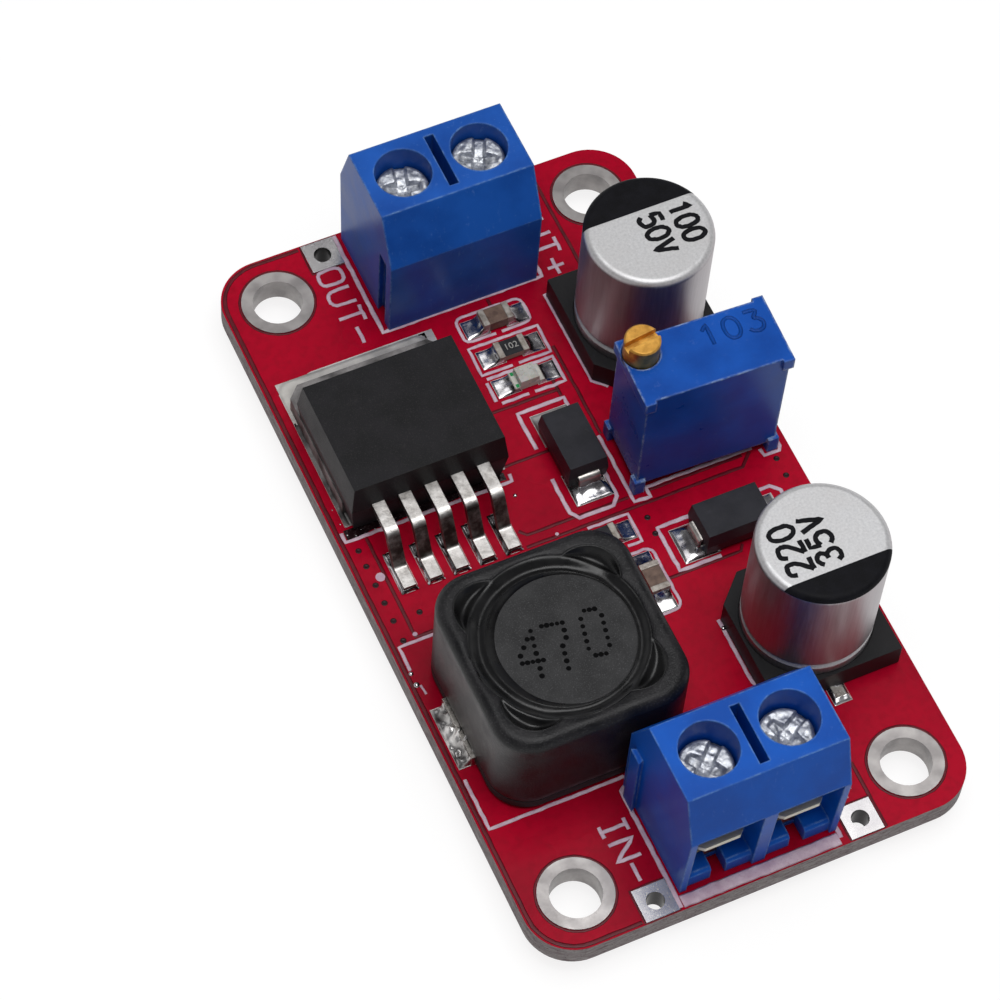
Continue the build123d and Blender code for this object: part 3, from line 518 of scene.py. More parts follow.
resin = moulded("glossy resin", {
    "dark": (10, 10, 11), "light": (18, 18, 19), "worn": (36, 36, 38), "rough": (0.22, 0.4), "gloss": 0.34,
    "edge": 0.1, "edgeWearAndHighlight": 0.1, "grain": 0.5, "wave": 0.04, "patch": 1.3, "scuff": 0.1})
windingCopper = moulded("enamelled copper", {
    "dark": (130, 66, 30), "light": (176, 98, 50), "worn": (196, 124, 70), "rough": (0.25, 0.4),
    "metal": 0.6})
potting = moulded("potting", {
    "dark": (40, 52, 78), "light": (56, 70, 100), "worn": (80, 92, 120), "rough": (0.25, 0.5),
    "wave": 0.08, "patch": 1})
ceramic = moulded("chip ceramic", {
    "dark": (92, 74, 66), "light": (120, 98, 86), "worn": (160, 140, 122), "rough": (0.28, 0.42),
    "edge": 0.05, "grain": 0.05, "tooth": 0.005, "speck": 0.4, "patch": 0.5})
resistorGlaze = moulded("resistor glaze", {
    "dark": (26, 26, 30), "light": (38, 38, 42), "worn": (70, 68, 70), "under": (150, 132, 120),
    "rough": (0.3, 0.45), "edge": 0.04, "grain": 0.05, "patch": 0.5})
chipEnd = moulded("chip end", {
    "dark": (132, 124, 116), "light": (178, 172, 164), "worn": (210, 206, 200), "rough": (0.4, 0.55),
    "metal": 0.6, "edge": 0.04, "grain": 0.06, "tooth": 0.01, "patch": 0.4})
lampBase = moulded("indicator strip", {
    "dark": (182, 180, 172), "light": (204, 202, 194), "worn": (216, 214, 208), "rough": (0.4, 0.6),
    "edge": 0.04, "grain": 0.05, "patch": 0.4})
# dark flux that also stands in for the regulator body's shadow: painted shadow
flux = moulded("dark flux", {
    "dark": (18, 10, 12), "light": (34, 16, 20), "worn": (90, 84, 84), "fleck": (70, 60, 62),
    "rough": (0.08, 0.25), "edge": 0.02, "edgeWearAndHighlight": 0, "grain": 0.14, "tooth": 0.02, "patch": 0.8,
    "wave": 0.05, "speck": 0.9})
silkInk = moulded("legend ink", {
    "dark": (188, 160, 178), "light": (214, 192, 204), "worn": (226, 208, 216), "fleck": (176, 130, 150),
    "rough": (0.5, 0.7), "edge": 0.02, "edgeWearAndHighlight": 0, "patch": 0.9, "speck": 0.5, "gloss": 0.3})
gapRed = moulded("bare gap", {
    "dark": (84, 8, 22), "light": (104, 9, 27), "worn": (110, 10, 30), "rough": (0.3, 0.45),
    "edge": 0.02, "edgeWearAndHighlight": 0, "grain": 0.15, "patch": 0.8, "gloss": 0.25})
viaDark = moulded("dark via", {
    "dark": (22, 4, 8), "light": (38, 7, 14), "worn": (60, 14, 22), "rough": (0.3, 0.5),
    "edge": 0.02, "edgeWearAndHighlight": 0, "grain": 0.1, "patch": 0.4})
canInk = moulded("can ink", {
    "dark": (9, 9, 13), "light": (19, 19, 24), "worn": (46, 46, 50), "fleck": (40, 40, 44),
    "rough": (0.5, 0.65), "gloss": 0.1, "edge": 0.02, "edgeWearAndHighlight": 0, "grain": 0.06, "patch": 0.8,
    "speck": 0.4, "scuff": 0.25})
whiteInk = moulded("white code ink", {
    "dark": (150, 148, 144), "light": (186, 184, 180), "worn": (200, 200, 196), "rough": (0.5, 0.6),
    "edgeWearAndHighlight": 0, "grain": 0.05})
dotInk = moulded("dot ink", {
    "dark": (3, 3, 4), "light": (9, 9, 10), "worn": (24, 24, 25), "rough": (0.6, 0.8), "gloss": 0.05,
    "edgeWearAndHighlight": 0, "grain": 0.05})
cornerGreen = moulded("polarity green", {
    "dark": (20, 130, 70), "light": (40, 160, 90), "worn": (80, 180, 120), "rough": (0.4, 0.5),
    "edgeWearAndHighlight": 0, "grain": 0.05})

# the first ending that fits a node's name gives its finish
endings = {
    "circuit_board": board, "hole_plating": ringTin, "pad_plating": padTin, "solder_pads": tin,
    "solder_joints": solder, "output_terminal_housing": sheenedTerminalBlue, "terminal_housing": terminalBlue,
    "clamp_frame": clampBrass, "wire_guard": guardMetal, "clamp_screw": zinc,
    "trimmer_housing": trimmerBlue, "trimmer_base": potting, "trimmer_screw": turnedBrass,
    "can": canMetal, "regulator_body": mouldCompound, "regulator_tab": stripSolder, "regulator_leads": strip,
    "shield": ferrite, "core": coreFerrite, "bond": resin, "winding": windingCopper,
    "diode_body": diodeCompound, "capacitor_one_body": ceramic, "capacitor_two_body": ceramic,
    "resistor_one_body": resistorGlaze, "resistor_two_body": resistorGlaze, "indicator_base": lampBase,
    "lens": lens, "ends": chipEnd, "base": basePlastic, "leads": leadMetal, "pins": leadMetal,
    "inductor_terminals": leadMetal}
for name, piece in nodes.items():
    finish = next(finish for ending, finish in endings.items() if name.endswith(ending))
    piece.data.materials.clear()
    piece.data.materials.append(finish)
print("finishes on the packed nodes")


# legend on the board: outlines and letters in one ink

silkLook = {
    "width": 0.3, "letter": 0.25, "thick": 0.02, "height": boardTop + 0.004, "wobble": 0.014, "step": 0.4,
    "dots": [((-12.54, 1.46), 0.3), ((-12.22, -2.86), 0.15), ((-1.65, 0.04), 0.12)]}

# each sign in a square of side 1, as (kind of corner, points)
letterLook = {
    "O": [("round", [(0.22, 0), (0.78, 0), (1, 0.16), (1, 0.84),
                     (0.78, 1), (0.22, 1), (0, 0.84), (0, 0.16)])],
    "U": [("bend", [(0, 1), (0, 0.2), (0.25, 0), (0.75, 0), (1, 0.2), (1, 1)])],
    "T": [("line", [(0, 1), (1, 1)]), ("line", [(0.5, 1), (0.5, 0)])],
    "I": [("line", [(0.5, 0), (0.5, 1)]), ("line", [(0.12, 0), (0.88, 0)]), ("line", [(0.12, 1), (0.88, 1)])],
    "N": [("line", [(0, 0), (0, 1), (1, 0), (1, 1)])],
    "-": [("line", [(0, 0.5), (1, 0.5)])],
    "+": [("line", [(0, 0.5), (1, 0.5)]), ("line", [(0.5, 0.15), (0.5, 0.85)])],
    "1": [("line", [(0.15, 0.75), (0.55, 1), (0.55, 0)])],
    "1 flag": [("line", [(0.18, 0.74), (0.6, 1), (0.6, 0)])],
    "2": [("bend", [(0.03, 0.72), (0.15, 1), (0.85, 1), (0.98, 0.75), (0.85, 0.5), (0.05, 0.02)]),
          ("line", [(0.02, 0), (1, 0)])],
    "3": [("bend", [(0.02, 1), (0.98, 1), (0.45, 0.6), (0.75, 0.6), (1, 0.4), (1, 0.2), (0.75, 0), (0.25, 0),
                    (0, 0.18)])],
    "3 round": [("bend", [(0.03, 0.82), (0.25, 1), (0.75, 1), (0.95, 0.8), (0.75, 0.56), (0.4, 0.54)]),
                ("bend", [(0.4, 0.54), (0.8, 0.54), (1, 0.27), (0.8, 0), (0.2, 0), (0, 0.2)])],
    "5": [("line", [(0.9, 1), (0.15, 1), (0.08, 0.56)]),
          ("bend", [(0.08, 0.56), (0.6, 0.68), (1, 0.5), (1, 0.12), (0.6, 0), (0.25, 0), (0, 0.16)])],
    "V": [("line", [(0, 1), (0.5, 0), (1, 1)])],
    "0": [("round", [(0.3, 0), (0.7, 0), (1, 0.25), (1, 0.75), (0.7, 1), (0.3, 1), (0, 0.75), (0, 0.25)])]}

# (width, points) of each outline
outlines = (
    # beside the terminals, with a broad band along the near edge
    (0.3, [(-5.46, 25.0), (-5.46, 17.25), (5.3, 17.25), (5.3, 25.0)]),
    (0.3, [(-5.46, -24.9), (-5.46, -16.95), (-5.2, -16.75), (4.9, -16.75), (4.9, -24.6)]),
    (0.82, [(-5.3, -24.6), (4.75, -24.6)]),
    # chip parts
    (0.22, [(0.92, 14.5), (-0.65, 14.5), (-0.92, 14.58), (-1.08, 14.78), (-1.1, 15.0), (-1.1, 15.87),
            (-1.04, 16.14), (-0.86, 16.32), (-0.6, 16.37), (2.87, 16.37), (3.13, 16.3), (3.31, 16.12),
            (3.37, 15.87), (3.37, 15.0), (3.32, 14.74), (3.14, 14.56), (2.87, 14.5), (1.33, 14.5)]),
    (0.22, [(0.92, 11.98), (-1.17, 11.98), (-1.17, 14.05), (3.5, 14.05), (3.5, 11.98), (1.33, 11.98)]),
    (0.24, [(-1.0, 11.62), (3.42, 11.62), (3.42, 9.7), (1.38, 9.7)]),
    (0.24, [(0.97, 9.7), (-0.87, 9.7)]),
    (0.24, [(-1.13, 11.38), (-1.13, 9.93)]),
    (0.22, [(0.2, -0.33), (2.85, -0.33), (2.85, -2.37), (1.9, -2.37)]),
    (0.22, [(1.3, -2.95), (2.65, -2.95), (2.92, -3.02), (3.1, -3.2), (3.15, -3.45), (3.15, -6.9),
            (3.08, -7.16), (2.9, -7.33), (2.65, -7.4), (1.3, -7.4)]),
    # diodes
    (0.28, [(2.8, 8.0), (2.8, 8.63), (-0.33, 8.63), (-0.33, 5.88)]),
    (0.28, [(-0.33, 3.63), (-0.33, 1.05), (0.08, 0.52), (2.33, 0.52), (2.8, 1.05), (2.8, 2.9)]),
    (0.28, [(6.2, -1.93), (4.05, -1.93), (4.05, -5.13), (6.8, -5.13)]),
    (0.28, [(10.9, -1.93), (11.6, -1.93), (12.1, -2.45), (12.1, -4.6), (11.6, -5.13), (10.9, -5.13)]),
    # trimmer and cans
    (0.26, [(3.6, 5.35), (3.6, 0.25), (4.65, 0.2), (4.65, 0.92), (11.8, 0.92)]),
    (0.26, [(12.2, 0.65), (12.3, 0.12), (13.3, 0.12), (13.45, 0.4), (13.45, 5.3)]),
    (0.26, [(4.9, 15.97), (4.9, 9.05), (5.67, 8.33)]),
    (0.26, [(4.68, -9.0), (4.68, -13.6), (6.2, -15.6)]),
    # regulator and inductor
    (0.26, [(-13.5, 5.1), (-13.5, 4.42), (-2.6, 4.45), (-2.55, 4.95)]),
    (0.22, [(-11.1, -3.3), (-13.45, -3.3), (-13.45, -5.0)]),
    (0.24, [(-13.45, -12.7), (-13.45, -16.14), (-4.9, -16.14)]),
    (0.16, [(-13.32, -6.1), (-13.2, -6.75)]))

# beside each terminal, read towards the near edge: (left x of the minus and plus side, [(sign, y, width)])
wireSigns = (
    ((-7.6, 5.65), [("O", 22.8, 1.12), ("U", 21.22, 1.12), ("T", 19.68, 1.12), ("pole", 18.2, 1.2)]),
    ((-7.65, 5.55), [("I", -18.4, 1.0), ("N", -19.8, 1.15), ("pole", -21.3, 1.2)]))
wireSignTall = 1.55


def lettered(sign, place, along, up, size):
    # pen lines of one sign; place is its lower left corner, size its width and height
    made = []
    for kind, points in letterLook[sign]:
        flat = [Vector(place) + Vector(along) * x * size[0] + Vector(up) * y * size[1] for x, y in points]
        closed = kind == "round"
        made.append((flat if kind == "line" else rounded(flat, closed), closed, None))
    return made


def drawLegend(look):
    lines = [(points, False, width) for width, points in outlines]
    for sides, signs in wireSigns:
        for x, pole in zip(sides, "-+"):
            for sign, y, wide in signs:
                sign = pole if sign == "pole" else sign
                pen = lettered(sign, (x, y), (0, -1), (1, 0), (wide, wireSignTall))
                lines += [(points, closed, look["letter"]) for points, closed, _ in pen]
    penned("legend_lines", lines, look, silkInk)
    dome = ((1, 0), (0.85, 0.015), (0, 0.02))
    shapes = [spun([(max(radius * share, 0.001), boardTop + rise) for share, rise in dome], place, 24)
              for place, radius in look["dots"]]
    addMesh("legend_dots", *joined(shapes), silkInk)


drawLegend(silkLook)

gapLook = {
    "width": 0.22, "thick": 0.004, "height": boardTop + 0.004, "wobble": 0.008, "step": 0.6,
    "holes": (10.6, 21.75), "holeReach": 2.34, "holeWidth": 0.17,
    "pads": ((-6.65, 6.45), 23.95), "padHalf": 1.12, "padLimit": 25.0, "padWidth": 0.14,
    "margin": (-13.76, 24.86), "marginBend": 2.76, "marginEnd": -7.9, "marginWidth": 0.26,
    "lines": (
        [(-12.26, 4.25), (-12.26, -3.06), (-11, -3.06)],
        [(-3.1, 5.53), (0.6, 5.53)],
        [(-3.7, 1.1), (-3.3, 0.67), (3.4, 0.67)],
        [(-3.7, -0.1), (10.7, -0.08), (11.55, 0.72)],
        [(4.7, 0.67), (11, 0.67)],
        [(3.77, 12.3), (3.77, 5.4)],
        [(-1.8, 9.3), (2.75, 9.3)],
        [(2.7, 10.3), (2.7, 8.8)],
        [(7.9, 25), (7.9, 17.2)],
        [(1.45, 17), (1.45, 16.5)],
        [(3.2, -5.33), (8.0, -5.33), (8.3, -4.9)],
        [(7.62, -20.5), (7.62, -25)])}


def drawGaps(look):
    # dark lines where the copper under the mask stops
    lines = [(points, False, None) for points in look["lines"]]
    for x in (-look["holes"][0], look["holes"][0]):
        for y in (-look["holes"][1], look["holes"][1]):
            lines.append((circle(look["holeReach"], 48, (x, y)), True, look["holeWidth"]))
    half = look["padHalf"]
    for x in look["pads"][0]:
        for y in (-look["pads"][1], look["pads"][1]):
            low, high = max(y - half, -look["padLimit"]), min(y + half, look["padLimit"])
            square = [(x - half, low), (x + half, low), (x + half, high), (x - half, high)]
            lines.append((square, True, look["padWidth"]))
    # the margin runs along the minus side and round its two corners
    bend = look["marginBend"]
    left, far = look["margin"]
    margin = [(look["marginEnd"], far), (left + bend, far)]
    for t in range(1, 8):
        angle = t * math.pi / 16
        margin.append((left + bend - bend * math.sin(angle), far - bend + bend * math.cos(angle)))
    margin.append((left, far - bend))
    lines.append((margin + [(x, -y) for x, y in reversed(margin)], False, look["marginWidth"]))
    penned("bare_gaps", lines, look, gapRed)


drawGaps(gapLook)

viaLook = {
    "radius": 0.17, "profile": ((1.15, 0), (1, 0.02), (0.6, 0.022), (0.4, 0.006), (0, 0.004)), "places": (
        (-13.03, 3.6), (-13.03, 2.44), (-13.03, 1.06), (-13.03, -0.25), (-13.03, -1.56), (-13.03, -3.0),
        (-11.37, -1.61), (3.84, -1.04), (3.8, -2.23), (12.87, -0.36), (12.88, -1.64))}


def addVias(look):
    profile = [(max(look["radius"] * share, 0.001), boardTop + rise) for share, rise in look["profile"]]
    shapes = [spun(profile, place, 20) for place in look["places"]]
    addMesh("tented_vias", *joined(shapes), viaDark)


addVias(viaLook)
print("legend, gaps and vias")


# solder that wets each pad and climbs its lead

padTop = 1.66
poolLook = {
    "film": 0.03, "climb": 0.2, "step": 0.09, "ripple": 0.25, "lump": 2.2, "rim": 0.12, "corner": 0.18}


def pool(name, seat, pad, lead, look, finish=None):
    # pad and lead are (x0, x1, y0, y1) on the seat (x, y, turn in degrees); wet is the height at the lead
    look = {**poolLook, **look}
    x0, x1, y0, y1 = pad
    across = max(3, round((x1 - x0) / look["step"]))
    along = max(3, round((y1 - y0) / look["step"]))
    turn = Matrix.Rotation(math.radians(seat[2]), 2)
    shift = Vector((seat[0] * 1.7, seat[1] * 1.3, x0 + y0))
    corner = look["corner"]

    def place(i, j):
        x = x0 + (x1 - x0) * i / across
        y = y0 + (y1 - y0) * j / along
        # distance in from the rounded pad edge
        dx = max(abs(x - (x0 + x1) / 2) - (x1 - x0) / 2 + corner, 0)
        dy = max(abs(y - (y0 + y1) / 2) - (y1 - y0) / 2 + corner, 0)
        inside = corner - math.hypot(dx, dy)
        rim = max(0.0, min(1.0, inside / look["rim"])) ** 0.5
        away = math.hypot(max(lead[0] - x, 0, x - lead[1]), max(lead[2] - y, 0, y - lead[3]))
        lump = noise.noise(Vector((x, y, 0)) * look["lump"] + shift) * look["ripple"]
        height = rim * (look["film"] + look["wet"] * math.exp(-away / look["climb"])) * (1 + lump)
        flat = turn @ Vector((x, y))
        return seat[0] + flat.x, seat[1] + flat.y, padTop + height

    addMesh(name, *sheet(across, along, place), finish or solder, slot="solder")


def poolPair(name, seat, words, pad, lead, look, finishes=(None, None), endwise=False):
    # a pool on each side of a part; pad and lead are (near, far, half width) from its middle
    for side, word, finish in zip((-1, 1), words, finishes):
        areas = []
        for near, far, half in (pad, lead):
            reach = (near, far) if side > 0 else (-far, -near)
            areas.append((-half, half) + reach if endwise else reach + (-half, half))
        pool(f"{name}_solder_{word}", seat, *areas, look, finish)


# (x, y, turn, wet) of each chip part
chipSeats = {
    "chip_capacitor_one": (1.2, 15.3, 0, 0.5), "chip_resistor_one": (1.2, 12.95, 0, 0.4),
    "indicator": (1.2, 10.7, 0, 0.26), "chip_capacitor_two": (2.22, -5.25, 90, 0.5),
    "chip_resistor_two": (0.6, -1.4, 0, 0.4)}
for name, (*seat, wet) in chipSeats.items():
    poolPair(name, seat, ("left", "right"), (0.6, 2.08, 0.66), (0.6, 1.0, 0.6),
             {"wet": wet, "film": 0.04, "climb": 0.28, "step": 0.07})

for name, seat, finishes in (("output_diode", (1.5, 4.68, 90), (None, tabSolder)),
                             ("input_diode", (8.0, -3.65, 0), (None, None))):
    poolPair(name, seat, ("near", "far"), (1.15, 3.42, 1.22), (1.3, 2.5, 0.7),
             {"wet": 0.4, "film": 0.05, "climb": 0.3}, finishes)

regulatorSeat = (-7.9, 8.9, 0)
footPitch = 1.7
for index in range(5):
    x = (index - 2) * footPitch
    pad, lead = (x - 0.56, x + 0.56, -9.08, -6.12), (x - 0.4, x + 0.4, -8.95, -7.2)
    pool(f"regulator_foot_solder_{index + 1}", regulatorSeat, pad, lead,
         {"wet": 0.16, "film": 0.06, "climb": 0.16, "step": 0.07, "ripple": 0.4})
pool("regulator_tab_solder", regulatorSeat, (-5.22, 4.75, 3.9, 7.32), (-4.3, 4.3, 0, 6.05),
     {"wet": 0.3, "film": 0.04, "climb": 0.3, "step": 0.11, "ripple": 0.1, "corner": 0.9}, tabSolder)
pool("regulator_tab_solder_left", regulatorSeat, (-5.24, -4.9, -3.5, 4.2), (-5.0, 5.0, -2, 6),
     {"wet": 0.1, "step": 0.07, "ripple": 0.9, "corner": 0.1}, stripSolder)

for name, seat in (("output_capacitor", (9.12, 11.6, 0)), ("input_capacitor", (9.0, -11.55, 180))):
    poolPair(name, seat, ("front", "back"), (3.9, 5.33, 0.56), (3.5, 5.0, 0.35),
             {"wet": 0.14, "film": 0.06, "climb": 0.18, "step": 0.07, "ripple": 0.3}, endwise=True)

poolPair("inductor", (-6.45, -9.95, 0), ("left", "right"), (5.7, 7.03, 2.05), (5.7, 6.3, 2.1),
         {"wet": 0.6, "film": 0.08, "climb": 0.3, "step": 0.07, "ripple": 0.95}, (clipSolder, clipSolder))

# (x, y, radius) of each stray bead
speckLook = {
    "sunk": 0.01, "squat": 0.8, "angles": (0, 0.35, 0.7, 1.05, 1.35), "places": (
        (-2.85, 3.45, 0.14), (-13.5, -5.2, 0.16), (-13.5, -6.0, 0.2), (4.7, -9.65, 0.16), (-13.2, 4.85, 0.07),
        (-12.75, 4.62, 0.06), (-12.3, 4.9, 0.05), (-11.5, 4.6, 0.06), (-10.2, 4.75, 0.05), (-8.7, 4.65, 0.06),
        (-7.0, 4.8, 0.06), (-5.2, 4.7, 0.05), (-3.4, 4.75, 0.06), (-13.3, 5.7, 0.06), (-13.35, 6.8, 0.05))}


def addSpecks(look):
    shapes = []
    base = boardTop - look["sunk"]
    for x, y, radius in look["places"]:
        tall = radius * look["squat"]
        profile = [(radius * math.cos(angle), base + tall * math.sin(angle)) for angle in look["angles"]]
        shapes.append(spun(profile + [(0.001, base + tall)], (x, y), 20))
    addMesh("solder_specks", *joined(shapes), solder, slot="solder")


addSpecks(speckLook)
print("solder on the pads")


# print on the cans, the resistor and the inductor

canLook = {"top": 12.11, "flat": 3.525, "shoulder": 0.45, "reach": 3.96, "ink": 0.01}


def sector(name, centre, chord, side, look):
    # the printed polarity mark: everything beyond a chord, laid over the shoulder of the can
    across, along = 48, 24
    widest = math.sqrt(look["reach"] ** 2 - chord ** 2)

    def place(i, j):
        x = widest * math.sin(math.pi / 2 * (2 * i / across - 1))
        far = math.sqrt(max(look["reach"] ** 2 - x * x, 0))
        # rows crowd towards the shoulder, and the ink lies along its normal
        y = chord + (max(far, chord) - chord) * (1 - (1 - j / along) ** 2)
        radius = math.hypot(x, y)
        over = max(radius - look["flat"], 0) / look["shoulder"]
        rise = math.sqrt(max(1 - over * over, 0))
        out = 1 + look["ink"] * over / radius
        height = look["top"] - look["shoulder"] * (1 - rise) + look["ink"] * rise
        return centre[0] + x * out, centre[1] + side * y * out, height

    addMesh(name, *sheet(across, along, place), canInk)


sector("output_can_mark", (9.12, 11.6), 1.45, 1, canLook)
sector("input_can_mark", (9.0, -11.55), 1.95, -1, canLook)

codeLook = {"width": 0.3, "thick": 0.01, "height": 12.118, "wobble": 0.012, "step": 0.2}
canCodes = {
    "output_can_value": {
        "words": "100", "place": (11.45, 11.3), "turn": -90, "tall": 1.38, "wide": 0.72, "advance": 1.02},
    "output_can_volts": {
        "words": "50V", "place": (9.47, 11.15), "turn": -90, "tall": 1.38, "wide": 0.76, "advance": 1.05},
    "input_can_value": {
        "words": "220", "place": (6.95, -11.42), "turn": 90, "tall": 1.5, "wide": 0.84, "advance": 1.2},
    "input_can_volts": {
        "words": "35V", "place": (8.82, -11.42), "turn": 90, "tall": 1.45, "wide": 0.84, "advance": 1.18}}


def canCode(name, look):
    # one line of figures centred on a place of the can top, read along the turned direction
    along = Vector((math.cos(math.radians(look["turn"])), math.sin(math.radians(look["turn"]))))
    up = Vector((-along.y, along.x))
    tall, wide = look["tall"], look["wide"]
    middle = (len(look["words"]) - 1) / 2
    lines = []
    for order, sign in enumerate(look["words"]):
        back = (order - middle) * look["advance"] - wide / 2
        corner = Vector(look["place"]) + along * back - up * tall / 2
        lines += lettered({"3": "3 round", "1": "1 flag"}.get(sign, sign), corner, along, up, (wide, tall))
    penned(name, lines, codeLook, canInk)


for name, look in canCodes.items():
    canCode(name, look)

resistorCodeLook = {"words": "102", "place": (1.2, 12.95, 2.22), "size": 0.62, "thick": 0.008}


def resistorCode(name, look):
    text = bpy.data.curves.new(name, "FONT")
    text.body = look["words"]
    text.size = look["size"] * mm
    text.align_x = "CENTER"
    text.align_y = "CENTER"
    text.extrude = look["thick"] * mm / 2
    text.resolution_u = 4
    thing = addObject(name, text)
    thing.location = Vector(look["place"]) * mm
    addPiece(name, asMesh(thing, name), whiteInk, smooth=False)


resistorCode("resistor_one_code", resistorCodeLook)

dotLook = {
    "words": "470", "column": 0.305, "row": 0.49, "radius": 0.155, "height": 8.911, "centre": (-6.45, -9.95),
    "places": ((-2.06, -0.25), (-0.47, -0.4), (1.9, -0.37)), "turn": -12}
dotSigns = {
    "4": ("00010", "00110", "01010", "10010", "11111", "00010", "00010"),
    "7": ("11111", "00001", "00001", "00010", "00010", "00010", "00010"),
    "0": ("01110", "10001", "10001", "10001", "10001", "10001", "01110")}


def dotCode(look):
    # each sign is burnt as dots on a grid of five columns and seven rows
    shapes = []
    base = look["height"]
    turn = Matrix.Rotation(math.radians(look["turn"]), 2)
    for sign, place in zip(look["words"], look["places"]):
        marks = dotSigns[sign]
        dots = [(row, column) for row in range(7) for column in range(5) if marks[row][column] == "1"]
        for row, column in dots:
            flat = turn @ Vector(((column - 2) * look["column"], (3 - row) * look["row"])) + Vector(place)
            x, y = look["centre"][0] + flat.x, look["centre"][1] + flat.y
            size = look["radius"] * random.uniform(0.85, 1.1)
            shapes.append(spun([(size, base), (size * 0.8, base + 0.005), (0.001, base + 0.006)], (x, y), 14))
    addMesh("inductor_code", *joined(shapes), dotInk)


dotCode(dotLook)
print("print on the cans, the resistor and the inductor")


# inductor shield with its pockets, and the resin poured round the core

shieldLook = {
    "centre": (-6.45, -9.95), "half": 6.05, "corner": 2.4, "edge": 0.7, "top": 9.26, "foot": 2.51,
    "bore": 5.0, "core": 4.37, "rim": 5.26, "shift": 0.16, "shiftTowards": 155, "pocket": 1.1, "spread": 0.36,
    "groove": 0.56, "fall": 0.72, "climb": 0.55, "dip": 0.5, "lip": 0.12, "sag": 0.2, "seat": 1.3,
    "bare": 4.18, "bareShift": 0.34, "bareTowards": -25, "film": 0.345, "tuck": 0.007, "swell": 0.03,
    "lipWave": 0.8, "lipFade": 0.16, "sagWave": 1.6, "ripple": 0.012, "footCut": 0.1,
    "wallDrops": (1.0, 2.0, 3.4, 4.8, 6.2)}


def steep(value):
    # a smooth step from 0 to 1
    value = max(0.0, min(1.0, value))
    return value * value * (3 - 2 * value)


def waviness(angle, turns, depth):
    # smooth noise round a circle
    return noise.noise(Vector((math.cos(angle) * turns, math.sin(angle) * turns, depth)))


def shieldReach(angle, look):
    # distance from the middle to the rounded square outline
    across, along = abs(math.cos(angle)), abs(math.sin(angle))
    flat = look["half"] - look["corner"]
    reach = look["half"] / max(across, along)
    if min(reach * across, reach * along) > flat:
        middle = flat * (across + along)
        reach = middle + math.sqrt(middle * middle - 2 * flat * flat + look["corner"] ** 2)
    return reach


def cornerShare(angle, look):
    # 1 on a diagonal, falling to 0 at the ends of its pocket
    off = abs(angle % (math.pi / 2) - math.pi / 4) / look["spread"]
    return max(0, 1 - off * off)


def rimReach(angle, look):
    # edge of the resin, which sits a little off centre and widens into the pockets
    shift = look["shift"] * math.cos(angle - math.radians(look["shiftTowards"]))
    return look["rim"] + 0.07 * waviness(angle, 2.5, 5) + shift + look["pocket"] * cornerShare(angle, look)


def bareReach(angle, look):
    # edge of the bare ground disc, which the resin leaves off centre
    off = angle - math.radians(look["bareTowards"])
    shift = look["bareShift"]
    reach = shift * math.cos(off) + math.sqrt(look["bare"] ** 2 - (shift * math.sin(off)) ** 2)
    return min(look["core"] - 0.02, 0.05 * waviness(angle, 2, 9) + reach)


def shieldHeight(angle, radius, look):
    # height against the flat top: groove by the core, a crest, a dip in each pocket, the rounded outer edge
    share = cornerShare(angle, look)
    rim = rimReach(angle, look)
    ridge = rim - look["pocket"] * share
    wave = waviness(angle, 3, radius * 0.7)
    crest = look["lip"] * (1 + look["lipWave"] * wave)
    crest += look["sag"] * share * (1 + look["sagWave"] * waviness(angle, 1, 2))
    if radius < ridge:
        down = steep((ridge - radius) / look["fall"])
        climb = max(0.0, 1 - (radius - look["core"]) / look["climb"]) ** 2
        height = -crest - (look["groove"] - crest) * down + (look["groove"] - look["film"]) * climb
    elif radius < rim:
        inside = (radius - ridge) / max(rim - ridge, 0.01)
        dip = look["dip"] * share * math.sin(math.pi * inside ** 0.8) ** 1.3 * (1 + 0.3 * wave)
        height = -crest * (1 - inside) - dip
    else:
        height = -look["lip"] * math.exp(-(radius - rim) / look["lipFade"]) * (1 - share)
    over = max(0.0, radius - (shieldReach(angle, look) - look["edge"]))
    rolled = look["edge"] - math.sqrt(max(look["edge"] ** 2 - over ** 2, 0))
    return height - rolled + look["ripple"] * wave


